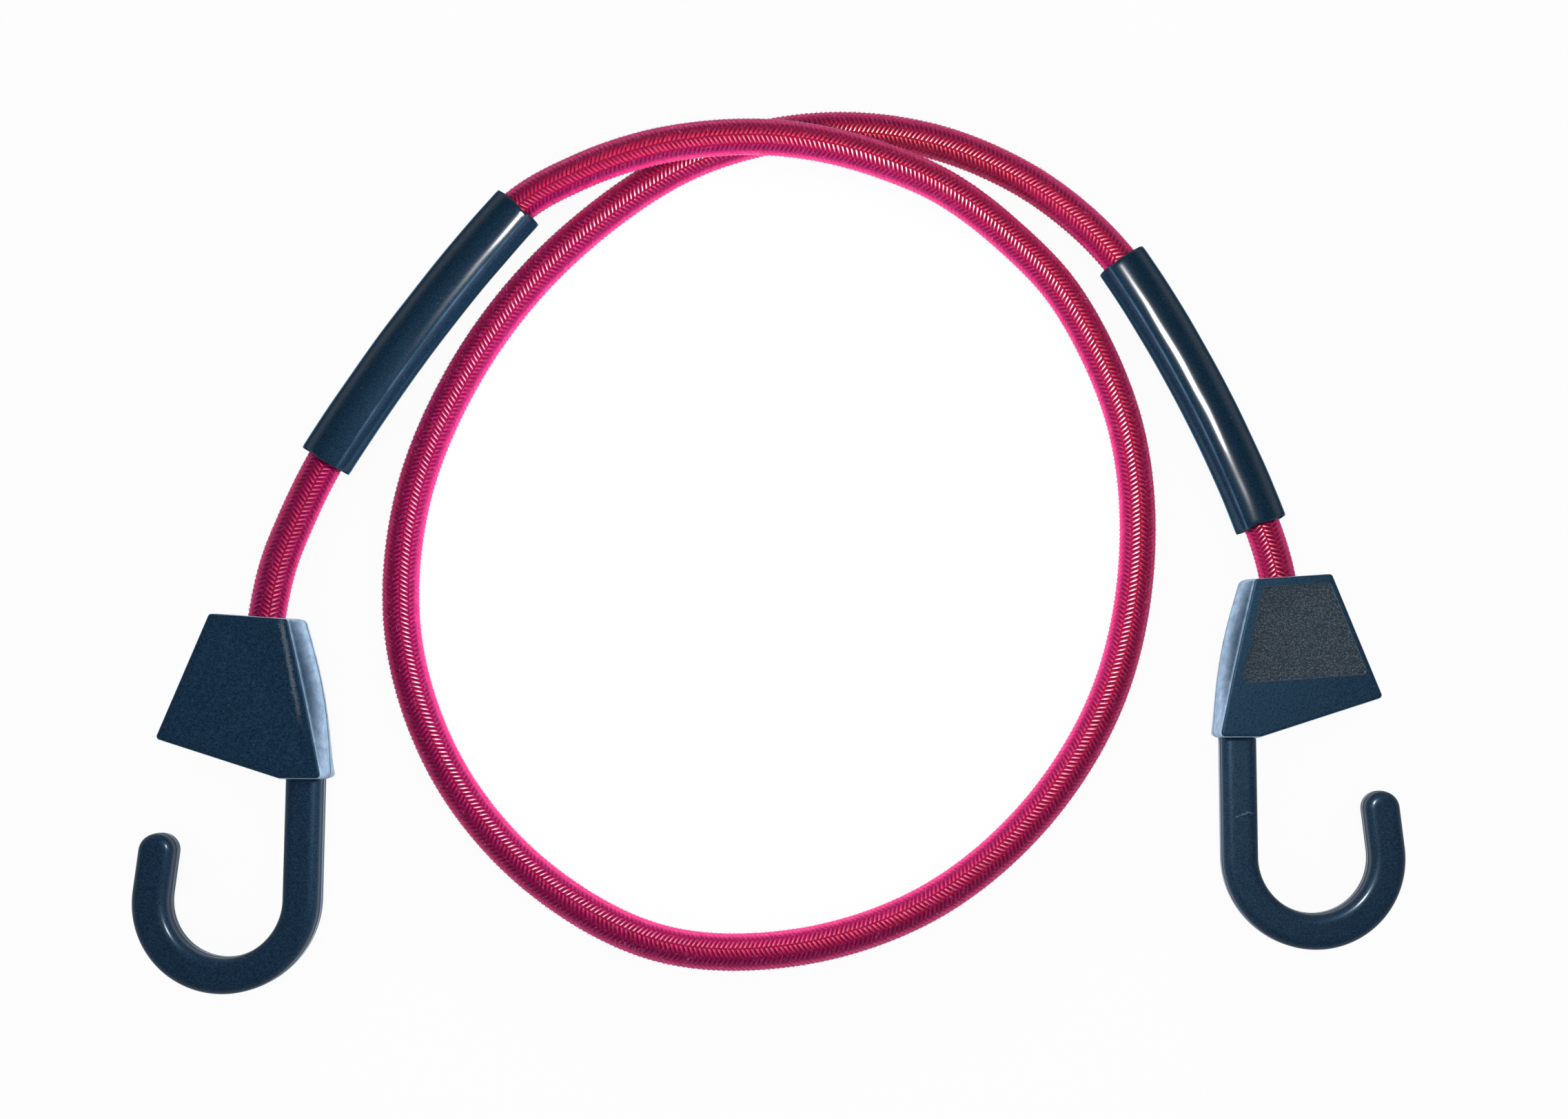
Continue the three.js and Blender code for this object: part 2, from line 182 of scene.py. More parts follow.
YARN_DARK = (0.065, 0.0, 0.058, 1)
YARN_RED = (0.31, 0.0, 0.145, 1)
# Painted shade for the gaps between yarns
YARN_GAP_SHADE = (0.13, 0.0, 0.05, 1)
# Painted sheen: hot pink and lilac that the cord's edges take on when seen at a grazing view
SHEEN_RED = (0.48, 0.006, 0.13, 1)
SHEEN_PINK = (0.85, 0.05, 0.28, 1)
SHEEN_LILAC = (0.42, 0.16, 0.5, 1)
FIBRE_RED = (0.45, 0.01, 0.2, 1)
FIBRE_PINK = (0.95, 0.25, 0.6, 1)
HOOK_DARK = (0.003, 0.0135, 0.0345, 1)
HOOK_PALE = (0.0145, 0.041, 0.08, 1)
PANEL_DARK = (0.022, 0.034, 0.048, 1)
PANEL_PALE = (0.115, 0.145, 0.175, 1)
HOOK_TINT = (0.35, 0.7, 1.0, 1)
PANEL_TINT = (0.6, 0.8, 1.0, 1)
# Painted sheen on hook walls and bar outlines
HOOK_SHEEN = (0.35, 0.5, 0.68, 1)
# Painted sheen streaks
SHEEN_STREAK_GREY = (0.16, 0.19, 0.225, 1)
SLEEVE_DARK = (0.002, 0.013, 0.03, 1)
SLEEVE_PALE = (0.011, 0.038, 0.072, 1)
# Painted sheen along the sleeves' crease ridge
SLEEVE_CREASE_SHEEN = (0.05, 0.12, 0.2, 1)
# Painted sheen at the sleeves' edges
SLEEVE_RIM_SHEEN = (0.1, 0.27, 0.48, 1)
HOOK_SCUFF = (0.05, 0.06, 0.07, 1)
SLEEVE_SCUFF = (0.07, 0.075, 0.08, 1)
DUST = (0.2, 0.21, 0.22, 1)
STEEL_DARK = (0.45, 0.46, 0.48, 1)
STEEL_PALE = (0.68, 0.69, 0.7, 1)
TABLE_WHITE = (0.93, 0.93, 0.93, 1)

# Camera and floor

CAMERA_PLACE = (0.019, -0.0323, 0.46)
CAMERA_LEAN_EAST = math.radians(1.04)
CAMERA_LEAN_NORTH = math.radians(5.48)
CAMERA_LENS = 46.855
CAMERA_SENSOR_WIDTH = 36
CAMERA_SHIFT = (-0.0723, -0.0163)
CAMERA_CLIP = (0.01, 20)
FLOOR_HALF = 3.0
FLOOR_LEVEL = -0.1 * MM
FLOOR_GLOW = 0.94

# Places that follow from the sizes above

BAR_RADIUS = THROAT_RADIUS + BAR_WIDTH / 2
MIDDLE = HOUSING_THICKNESS / 2
FOOT_LEFT = -BAR_RADIUS - BAR_WIDTH / 2 - SHANK_STEP
FOOT_SHANK = Vector((FOOT_LEFT, SHANK_LENGTH))
FOOT_MIDDLE = Vector((FOOT_LEFT + FOOT_FLAT, SHANK_LENGTH))
FOOT_TIP = Vector((FOOT_LEFT + FOOT_WIDTH, SHANK_LENGTH + FOOT_RISE))
HEAD_SHANK = Vector((FOOT_LEFT + HEAD_INSET, SHANK_LENGTH + SHANK_SIDE_HEIGHT))
HEAD_TIP = HEAD_SHANK + Vector((HEAD_WIDTH, HEAD_RISE))
HOUSING_CORNERS = [FOOT_SHANK, FOOT_MIDDLE, FOOT_TIP, HEAD_TIP, HEAD_SHANK]
FACE_HEAD_SHANK = HEAD_SHANK.lerp(HEAD_TIP, FACE_HEAD_STEP / HEAD_WIDTH)
HEAD_SLOPE = math.atan2(HEAD_RISE, HEAD_WIDTH)
MOUTH = HEAD_SHANK + MOUTH_FROM_HEAD_CORNER * Vector((math.cos(HEAD_SLOPE), math.sin(HEAD_SLOPE)))
INWARD = Vector((math.sin(CORD_LEAN), -math.cos(CORD_LEAN)))
HOOK_PLACES = {
    "right": Matrix.Translation((HOOK_SPACING / 2, RIGHT_HOOK_Y, 0)),
    "left": Matrix.Translation((-HOOK_SPACING / 2, LEFT_HOOK_Y, HOUSING_THICKNESS))
    @ Matrix.Rotation(math.pi, 4, "Y"),
}


# Helpers for trees, objects and outlines


class Nodes:
    """Adds nodes to a tree. An input's value is a number, a colour or another node's output."""

    def __init__(self, tree):
        self.tree = tree

    def add(self, kind, inputs=None, **settings):
        node = self.tree.nodes.new(kind)
        for key, value in settings.items():
            setattr(node, key, value)
        for key, value in (inputs or {}).items():
            if isinstance(value, bpy.types.NodeSocket):
                self.tree.links.new(value, node.inputs[key])
            else:
                node.inputs[key].default_value = value
        return node

    def first(self, kind):
        return next(n for n in self.tree.nodes if n.type == kind)

    def group(self, tree, inputs):
        return self.add("ShaderNodeGroup", inputs, node_tree=tree).outputs

    def math(self, operation, *values):
        return self.add("ShaderNodeMath", dict(enumerate(values)), operation=operation).outputs[0]

    def plus(self, first, second):
        return self.math("ADD", first, second)

    def minus(self, first, second):
        return self.math("SUBTRACT", first, second)

    def times(self, first, second):
        return self.math("MULTIPLY", first, second)

    def scaled(self, value, scale, shift):
        return self.math("MULTIPLY_ADD", value, scale, shift)

    def vector(self, operation, *values, **inputs):
        inputs.update(enumerate(values))
        return self.add("ShaderNodeVectorMath", inputs, operation=operation).outputs["Vector"]

    def combine(self, x=0.0, y=0.0, z=0.0):
        return self.add("ShaderNodeCombineXYZ", {0: x, 1: y, 2: z}).outputs[0]

    def split(self, vector):
        return self.add("ShaderNodeSeparateXYZ", {0: vector}).outputs

    def remap(self, value, low, high, to_low=0.0, to_high=1.0, shape="LINEAR"):
        inputs = {"Value": value, "From Min": low, "From Max": high, "To Min": to_low, "To Max": to_high}
        return self.add("ShaderNodeMapRange", inputs, interpolation_type=shape).outputs[0]

    def smooth(self, value, low, high, to_low=0.0, to_high=1.0):
        return self.remap(value, low, high, to_low, to_high, "SMOOTHSTEP")

    def noise(self, vector, scale, detail, roughness=0.5):
        inputs = {"Vector": vector, "Scale": scale, "Detail": detail, "Roughness": roughness}
        return self.add("ShaderNodeTexNoise", inputs).outputs["Fac"]

    def blend(self, factor, first, second):
        return self.add("ShaderNodeMix", {0: factor, 6: first, 7: second}, data_type="RGBA").outputs[2]

    def facing(self, blend=0.5):
        return self.add("ShaderNodeLayerWeight", {"Blend": blend}).outputs["Facing"]

    def bump(self, height, distance):
        return self.add("ShaderNodeBump", {"Distance": distance, "Height": height}).outputs[0]

    def object_place(self):
        return self.add("ShaderNodeTexCoord").outputs["Object"]

    def link(self, output, target):
        self.tree.links.new(output, target)


def new_tree(name, inputs, outputs=None):
    """A geometry tree, or a shader group where outputs are given, with its first and last sockets."""
    tree = bpy.data.node_groups.new(name, "ShaderNodeTree" if outputs else "GeometryNodeTree")
    for in_out, sockets in (("INPUT", inputs), ("OUTPUT", outputs or {"Geometry": ["Geometry"]})):
        for form, names in sockets.items():
            for socket in names:
                tree.interface.new_socket(socket, in_out=in_out, socket_type=f"NodeSocket{form}")
    nodes = Nodes(tree)
    return nodes, nodes.add("NodeGroupInput").outputs, nodes.add("NodeGroupOutput").inputs


def new_object(name, mesh):
    piece = bpy.data.objects.new(name, mesh)
    bpy.context.collection.objects.link(piece)
    return piece


def plain_mesh(piece):
    graph = bpy.context.evaluated_depsgraph_get()
    return bpy.data.meshes.new_from_object(
        piece.evaluated_get(graph), preserve_all_data_layers=True, depsgraph=graph
    )


def line_object(name, points):
    mesh = bpy.data.meshes.new(name)
    mesh.from_pydata([tuple(p) for p in points], [(i, i + 1) for i in range(len(points) - 1)], [])
    return new_object(name, mesh)


def grown(name, base, tree, values):
    """The plain piece that a geometry tree makes from a base object."""
    modifier = base.modifiers.new("grow", "NODES")
    modifier.node_group = tree
    for item in tree.interface.items_tree:
        if item.item_type == "SOCKET" and item.in_out == "INPUT" and item.name in values:
            modifier[item.identifier] = values[item.name]
    mesh = plain_mesh(base)
    mesh.name = name
    base.modifiers.clear()
    bpy.data.objects.remove(base)
    return new_object(name, mesh)


def smooth_line(points, steps):
    """Close points along a centripetal spline through the given ones."""
    points = [np.array(p, float) for p in points]
    padded = [2 * points[0] - points[1], *points, 2 * points[-1] - points[-2]]
    line = []
    for p0, p1, p2, p3 in zip(padded, padded[1:], padded[2:], padded[3:]):
        d0, d1, d2 = (np.linalg.norm(b - a) ** 0.5 for a, b in ((p0, p1), (p1, p2), (p2, p3)))
        m1 = ((p1 - p0) / d0 - (p2 - p0) / (d0 + d1) + (p2 - p1) / d1) * d1
        m2 = ((p2 - p1) / d1 - (p3 - p1) / (d1 + d2) + (p3 - p2) / d2) * d1
        for t in np.arange(steps) / steps:
            bent = t**2 * (-3 * p1 + 3 * p2 - 2 * m1 - m2) + t**3 * (2 * p1 - 2 * p2 + m1 + m2)
            line.append(p1 + t * m1 + bent)
    line.append(points[-1])
    return np.array(line)


def add_camera():
    """The photograph's camera, over the middle of the cord's loop."""
    optical_axis = Vector((math.tan(CAMERA_LEAN_EAST), math.tan(CAMERA_LEAN_NORTH), -1)).normalized()
    right = optical_axis.cross(Vector((0, 1, 0))).normalized()
    up = right.cross(optical_axis)
    turn = Matrix((right, up, -optical_axis)).transposed().to_4x4()
    camera = new_object("camera", bpy.data.cameras.new("camera"))
    camera.matrix_world = Matrix.Translation(CAMERA_PLACE) @ turn
    camera.data.lens = CAMERA_LENS
    camera.data.sensor_width = CAMERA_SENSOR_WIDTH
    camera.data.shift_x, camera.data.shift_y = CAMERA_SHIFT
    camera.data.clip_start, camera.data.clip_end = CAMERA_CLIP
    bpy.context.scene.camera = camera


add_camera()


# Materials


def new_material(name, constants):
    material = bpy.data.materials.new(name)
    material.use_nodes = True
    nodes = Nodes(material.node_tree)
    shader = nodes.first("BSDF_PRINCIPLED").inputs
    for key, value in constants.items():
        shader[key].default_value = value
    return material, nodes, shader


def make_yarn_group():
    """Where a point lies on its yarn of the woven cover, from the cover's own map."""
    nodes, given, made = new_tree(
        "yarn",
        {"Vector": ["Map"], "Float": ["Fibres", "Seed"]},
        {"Float": ["Arch", "Crest", "Crown", "Height", "Shade", "Streak"]},
    )
    across, along, _ = nodes.split(given["Map"])
    column = nodes.math("FLOOR", across)
    share = nodes.math("FRACT", across)
    odd = nodes.math("FLOORED_MODULO", column, 2.0)
    shifted = nodes.scaled(odd, 0.5, along)
    row = nodes.math("ROUND", shifted)
    off = nodes.minus(shifted, row)
    arch = nodes.math("POWER", nodes.math("SINE", nodes.times(share, math.pi)), 0.4)
    round_off = nodes.math("COSINE", nodes.times(off, math.pi))
    crown = nodes.times(arch, nodes.math("POWER", round_off, 0.8))
    from_middle = nodes.math("POWER", nodes.scaled(share, 2.0, -1.0), 2.0)
    flat = nodes.times(from_middle, 0.4)
    which = nodes.combine(column, row, given["Seed"])
    shade = nodes.add("ShaderNodeTexWhiteNoise", {"Vector": which}).outputs["Value"]
    fibre_spot = nodes.combine(
        nodes.scaled(shade, 7.0, nodes.times(share, 0.7)),
        nodes.times(off, given["Fibres"]),
        nodes.times(row, 3.7),
    )
    streak = nodes.noise(fibre_spot, 1.0, 3.0, 0.6)
    height = nodes.plus(nodes.scaled(streak, 0.45, crown), flat)
    results = {
        "Arch": arch, "Crest": round_off, "Crown": crown,
        "Height": height, "Shade": shade, "Streak": streak,
    }
    for name, value in results.items():
        nodes.link(value, made[name])
    return nodes.tree


def make_grain_group():
    """Grain of a moulded surface: its height and a pale and dark speckle."""
    nodes, given, made = new_tree(
        "moulded_grain",
        {"Vector": ["Place"], "Float": ["Grain", "Coarse"]},
        {"Float": ["Height", "Speckle"]},
    )
    fine = nodes.noise(given["Place"], given["Grain"], 2.0, 0.6)
    beside = nodes.vector("ADD", given["Place"], (0.3, 0.2, 0.1))
    cells = nodes.noise(beside, nodes.times(given["Grain"], 0.7), 2.0, 0.7)
    rough = nodes.times(nodes.smooth(cells, 0.44, 0.6), given["Coarse"])
    nodes.link(nodes.plus(fine, rough), made["Height"])
    pits = nodes.minus(fine, nodes.times(rough, 0.3))
    nodes.link(nodes.remap(pits, 0.3, 0.7), made["Speckle"])
    return nodes.tree


def make_wear_group():
    """Faint scuffs and dust from handling, as a mask."""
    nodes, given, made = new_tree(
        "handling_wear",
        {"Vector": ["Place"], "Float": ["Scuffs", "Dust"]},
        {"Float": ["Scuff", "Dust"]},
    )
    stretched = nodes.vector("MULTIPLY", given["Place"], (900.0, 90.0, 400.0))
    scratch = nodes.smooth(nodes.noise(stretched, 1.0, 4.0, 0.7), 0.62, 0.8)
    patch = nodes.smooth(nodes.noise(given["Place"], 70.0, 3.0, 0.6), 0.5, 0.75)
    nodes.link(nodes.times(nodes.times(scratch, patch), given["Scuffs"]), made["Scuff"])
    spots = nodes.add("ShaderNodeTexVoronoi", {"Vector": given["Place"], "Scale": 450.0}).outputs["Distance"]
    speck = nodes.smooth(spots, 0.03, 0.09, 1.0, 0.0)
    nodes.link(nodes.times(speck, given["Dust"]), made["Dust"])
    return nodes.tree


YARN = make_yarn_group()
GRAIN = make_grain_group()
WEAR = make_wear_group()


def woven_cover_material():
    material, nodes, shader = new_material("woven_cover", {
        "Sheen Weight": 0.06, "Sheen Roughness": 0.4, "Sheen Tint": (1.0, 0.35, 0.6, 1),
        "Specular IOR Level": 1.0, "Specular Tint": (1.0, 0.04, 0.04, 1),
        "Coat Roughness": 0.38, "Coat IOR": 1.37, "Coat Tint": (1.0, 0.75, 0.78, 1),
    })
    cover_map = nodes.add("ShaderNodeUVMap", uv_map="UVMap").outputs[0]
    yarn = nodes.group(YARN, {"Map": cover_map, "Fibres": 7.0, "Seed": 3.0})
    streaks = nodes.remap(yarn["Streak"], 0.35, 0.65, 0.0, 0.7)
    mottle = nodes.scaled(yarn["Shade"], 0.3, streaks)
    deep = nodes.blend(mottle, YARN_DARK, YARN_RED)
    # Painted shade: the gaps between yarn crowns are darker than the crowns
    lit = nodes.blend(yarn["Crown"], YARN_GAP_SHADE, deep)
    # Painted sheen: the cord's edges blend to hot pink and its outline to lilac, by viewing angle
    edge = nodes.facing(0.35)
    rim = nodes.smooth(edge, 0.16, 0.46)
    sheen_colour = nodes.blend(mottle, SHEEN_RED, SHEEN_PINK)
    sheened = nodes.blend(rim, lit, sheen_colour)
    coloured = nodes.blend(nodes.smooth(edge, 0.7, 0.95, 0.0, 0.8), sheened, SHEEN_LILAC)
    nodes.link(coloured, shader["Base Color"])
    nodes.link(nodes.remap(yarn["Arch"], 0.3, 0.7, 0.95, 0.5), shader["Roughness"])
    ridge = nodes.smooth(yarn["Crest"], 0.87, 0.99)
    ends = nodes.smooth(yarn["Arch"], 0.5, 0.75)
    nodes.link(nodes.times(ridge, ends), shader["Coat Weight"])
    nodes.link(nodes.bump(yarn["Height"], 0.34 * MM), shader["Normal"])
    return material


def fuzz_material():
    material, nodes, shader = new_material("fuzz_fibre", {"Roughness": 0.6, "Specular IOR Level": 0.3})
    shade = nodes.noise(nodes.object_place(), 900.0, 2.0)
    nodes.link(nodes.blend(shade, FIBRE_RED, FIBRE_PINK), shader["Base Color"])
    return material


def sheen_streak_mask(nodes, place, start, end, width, lowest):
    """A painted sheen streak over a face, from one place to another seen from above."""
    run = Vector((end[0] - start[0], end[1] - start[1]))
    length = run.length
    x, y, z = nodes.split(place)
    east = nodes.minus(x, start[0])
    north = nodes.minus(y, start[1])
    along = nodes.plus(nodes.times(east, run.x / length), nodes.times(north, run.y / length))
    off = nodes.minus(nodes.times(east, run.y / length), nodes.times(north, run.x / length))
    rough = nodes.noise(place, 1500.0, 3.0, 0.6)
    ragged = nodes.scaled(rough, 2 * width, nodes.math("ABSOLUTE", off))
    band = nodes.smooth(ragged, 1.1 * width, 1.9 * width, 1.0, 0.0)
    begun = nodes.smooth(along, 0.0, length * 0.1)
    left = nodes.smooth(along, length * 0.7, length, 1.0, 0.0)
    specks = nodes.remap(nodes.noise(place, 5000.0, 2.0, 0.6), 0.4, 0.6, 0.25, 1.0)
    mask = nodes.times(nodes.times(band, begun), nodes.times(left, specks))
    return nodes.times(mask, nodes.math("GREATER_THAN", z, lowest))


def hook_plastic_material(name, grain, coarse, height, dark, pale, tint, wall_sheen_strength):
    """Moulded plastic. Walls get a painted pale sheen at a grazing angle, a bar has a thin painted sheen
    outline and a light coat.
    """
    material, nodes, shader = new_material(name, {
        "Sheen Weight": 0.15, "Sheen Roughness": 0.3, "Sheen Tint": (0.7, 0.86, 1.0, 1),
        "Specular IOR Level": 0.06, "Specular Tint": tint, "IOR": 1.6,
        "Coat Roughness": 0.23, "Coat IOR": 1.4,
    })
    place = nodes.object_place()
    grained = nodes.group(GRAIN, {"Place": place, "Grain": grain, "Coarse": coarse})
    worn = nodes.group(WEAR, {"Place": place, "Scuffs": 0.5, "Dust": 0.2})
    base = nodes.blend(grained["Speckle"], dark, pale)
    scuffed = nodes.blend(worn["Scuff"], base, HOOK_SCUFF)
    surface = nodes.blend(worn["Dust"], scuffed, DUST)
    # Painted sheen streaks, in pale grey
    for streak in SHEEN_STREAKS:
        mask = nodes.times(sheen_streak_mask(nodes, place, *streak), 0.85)
        surface = nodes.blend(mask, surface, SHEEN_STREAK_GREY)
    # Painted sheen: walls seen at a grazing angle turn pale in patches, and so does a bar's outline
    facing = nodes.facing()
    patches = nodes.remap(nodes.noise(place, 420.0, 5.0, 0.75), 0.35, 0.65, 0.55, 1.0)
    _, _, tilt = nodes.split(nodes.add("ShaderNodeNewGeometry").outputs["Normal"])
    walls = nodes.smooth(nodes.math("ABSOLUTE", tilt), 0.35, 0.85, 1.0, 0.12)
    wall_sheen_mask = nodes.times(nodes.remap(facing, 0.15, 0.55, 0.0, wall_sheen_strength), nodes.times(patches, walls))
    x, y, _ = nodes.split(place)
    # The level of the housing's foot on that side, below which the bar lies
    foot = nodes.remap(x, -0.01, 0.01, LEFT_HOOK_Y + SHANK_LENGTH, RIGHT_HOOK_Y + SHANK_LENGTH)
    on_bar = nodes.math("LESS_THAN", y, foot)
    outline = nodes.remap(facing, 0.85, 0.94, 0.0, 0.62)
    sheen_mask = nodes.scaled(on_bar, nodes.minus(outline, wall_sheen_mask), wall_sheen_mask)
    nodes.link(nodes.blend(sheen_mask, surface, HOOK_SHEEN), shader["Base Color"])
    nodes.link(nodes.remap(grained["Speckle"], 0.0, 1.0, 0.42, 0.56), shader["Roughness"])
    nodes.link(nodes.bump(grained["Height"], height), shader["Normal"])
    nodes.link(nodes.times(on_bar, 0.2), shader["Coat Weight"])
    return material


def sleeve_material():
    material, nodes, shader = new_material("sleeve_vinyl", {
        "Specular IOR Level": 0.0, "Coat Roughness": 0.13, "Coat IOR": 1.33,
    })
    place = nodes.object_place()
    grained = nodes.group(GRAIN, {"Place": place, "Grain": 3000.0, "Coarse": 0.0})
    worn = nodes.group(WEAR, {"Place": place, "Scuffs": 0.6, "Dust": 0.3})
    waves = nodes.noise(place, 120.0, 2.0)
    base = nodes.blend(grained["Speckle"], SLEEVE_DARK, SLEEVE_PALE)
    crest = nodes.add("ShaderNodeAttribute", attribute_name="crease").outputs["Fac"]
    # Painted sheen: a pale, broken line along the crease ridge
    ridge = nodes.smooth(crest, 0.82, 0.96, 0.0, 0.8)
    crease_sheen_mask = nodes.times(ridge, nodes.remap(waves, 0.35, 0.6, 0.3, 1.0))
    creased = nodes.blend(crease_sheen_mask, base, SLEEVE_CREASE_SHEEN)
    edge = nodes.facing()
    # Painted sheen: the sleeve's edges turn light blue at a grazing view
    rim_sheened = nodes.blend(nodes.smooth(edge, 0.68, 0.82, 0.0, 0.6), creased, SLEEVE_RIM_SHEEN)
    scuffed = nodes.blend(worn["Scuff"], rim_sheened, SLEEVE_SCUFF)
    nodes.link(nodes.blend(worn["Dust"], scuffed, DUST), shader["Base Color"])
    nodes.link(nodes.remap(waves, 0.2, 0.8, 0.14, 0.22), shader["Roughness"])
    nodes.link(nodes.remap(edge, 0.35, 0.6, 0.9, 0.05), shader["Coat Weight"])
    soft = nodes.scaled(grained["Height"], 0.03, waves)
    nodes.link(nodes.bump(soft, 0.12 * MM), shader["Normal"])
    return material


def steel_material():
    material, nodes, shader = new_material("ferrule_steel", {"Metallic": 1.0})
    stretched = nodes.vector("MULTIPLY", nodes.object_place(), (4000.0, 300.0, 4000.0))
    drawn = nodes.noise(stretched, 1.0, 3.0, 0.6)
    nodes.link(nodes.blend(drawn, STEEL_DARK, STEEL_PALE), shader["Base Color"])
    nodes.link(nodes.remap(drawn, 0.2, 0.8, 0.28, 0.42), shader["Roughness"])
    return material


WOVEN_COVER = woven_cover_material()
FUZZ_FIBRE = fuzz_material()
HOOK_PLASTIC = hook_plastic_material(
    "hook_plastic", grain=2600.0, coarse=0.15, height=0.05 * MM,
    dark=HOOK_DARK, pale=HOOK_PALE, tint=HOOK_TINT, wall_sheen_strength=1.0,
)
PANEL_GRAIN = hook_plastic_material(
    "panel_grain", grain=4200.0, coarse=1.4, height=0.13 * MM,
    dark=PANEL_DARK, pale=PANEL_PALE, tint=PANEL_TINT, wall_sheen_strength=0.6,
)
SLEEVE_VINYL = sleeve_material()
FERRULE_STEEL = steel_material()


# Parts that the geometry trees share


def row_and_side(nodes, sides):
    """The row and the side of each vert of a grid with that many sides."""
    index = nodes.add("GeometryNodeInputIndex").outputs[0]
    row = nodes.math("FLOOR", nodes.math("DIVIDE", nodes.plus(index, 0.5), sides))
    return row, nodes.math("ROUND", nodes.minus(index, nodes.times(row, sides)))


def beside_line(nodes, line, distance, rightwards, upwards):
    """Places at distances along a line of verts, moved off it to the right and upwards."""
    curve = nodes.add("GeometryNodeMeshToCurve", {"Mesh": line}).outputs["Curve"]
    sample = nodes.add(
        "GeometryNodeSampleCurve", {"Curves": curve, "Length": distance}, mode="LENGTH", use_all_curves=True,
    ).outputs
    tangent = nodes.vector("NORMALIZE", sample["Tangent"])
    right = nodes.vector("NORMALIZE", nodes.vector("CROSS_PRODUCT", tangent, (0.0, 0.0, 1.0)))
    up = nodes.vector("CROSS_PRODUCT", right, tangent)
    raised = nodes.vector("ADD", sample["Position"], nodes.vector("SCALE", up, Scale=upwards))
    return nodes.vector("ADD", raised, nodes.vector("SCALE", right, Scale=rightwards))


def end_tree(nodes, made, geometry, material):
    real = nodes.add("GeometryNodeRealizeInstances", {"Geometry": geometry})
    finished = nodes.add("GeometryNodeSetMaterial", {"Geometry": real.outputs[0], "Material": material})
    nodes.link(finished.outputs[0], made["Geometry"])
    return nodes.tree


def end_tube_tree(nodes, made, grid, place, material, name, value, **storage):
    """Lays a grid's verts in their places, keeps a named value on them and joins the grid's seams."""
    laid = nodes.add("GeometryNodeSetPosition", {"Geometry": grid.outputs["Mesh"], "Position": place})
    inputs = {"Geometry": laid.outputs[0], "Name": name, "Value": value}
    marked = nodes.add("GeometryNodeStoreNamedAttribute", inputs, **storage)
    merged = nodes.add("GeometryNodeMergeByDistance", {"Geometry": marked.outputs[0], "Distance": SEAM_JOIN})
    smooth = nodes.add("GeometryNodeSetShadeSmooth", {"Geometry": merged.outputs[0]})
    return end_tree(nodes, made, smooth.outputs[0], material)


# Cord: the braided cover grown along the cord's line


def braid_tree():
    """A woven tube along a line: rows of verts half a yarn apart, in columns that lean both ways."""
    nodes, given, made = new_tree("braided_cover", {
        "Geometry": ["Line"],
        "Int": ["Rows", "Sides", "Sides Per Column", "Columns"],
        "Float": ["Yarn Spacing", "Radius", "Rise", "Dip", "Flatness", "First Angle", "Twist"],
        "Material": ["Material"],
    })
    grid = nodes.add("GeometryNodeMeshGrid", {"Vertices X": given["Rows"], "Vertices Y": given["Sides"]})
    row, side = row_and_side(nodes, given["Sides"])
    across = nodes.math("DIVIDE", side, given["Sides Per Column"])
    column = nodes.math("FLOOR", nodes.plus(across, 0.001))
    share = nodes.math("FRACT", nodes.plus(across, 0.00001))
    hump = nodes.math("SINE", nodes.times(share, math.pi))
    flattened = nodes.remap(hump, 0.7, 1.0, 0.0, given["Flatness"])
    arch = nodes.minus(nodes.remap(hump, 0.0, 0.7), flattened)
    low = nodes.math("FLOORED_MODULO", nodes.plus(row, column), 2.0)
    heights = {0: low, 2: given["Rise"], 3: nodes.times(given["Dip"], -1.0)}
    ridge = nodes.add("ShaderNodeMix", heights, data_type="FLOAT").outputs[0]
    radius = nodes.scaled(arch, ridge, given["Radius"])
    last = nodes.minus(given["Rows"], 1.0)
    before_last = nodes.math("LESS_THAN", row, nodes.minus(last, 0.5))
    radius = nodes.times(radius, nodes.times(nodes.math("GREATER_THAN", row, 0.5), before_last))
    lean = nodes.math("PINGPONG", across, 1.0)
    steps = nodes.scaled(row, 0.5, nodes.minus(lean, 0.5))
    distance = nodes.math("MAXIMUM", nodes.times(steps, given["Yarn Spacing"]), 0.0)
    turn = nodes.math("DIVIDE", across, given["Columns"])
    twisted = nodes.scaled(distance, given["Twist"], given["First Angle"])
    angle = nodes.scaled(turn, 2 * math.pi, twisted)
    upwards = nodes.times(nodes.math("COSINE", angle), radius)
    rightwards = nodes.times(nodes.math("SINE", angle), nodes.times(radius, -1.0))
    place = beside_line(nodes, given["Line"], distance, rightwards, upwards)
    x, y, _ = nodes.split(grid.outputs["UV Map"])
    cover_map = nodes.combine(nodes.times(y, given["Columns"]), nodes.times(x, nodes.times(last, 0.5)))
    return end_tube_tree(
        nodes, made, grid, place, given["Material"], "UVMap", cover_map, data_type="FLOAT2", domain="CORNER",
    )


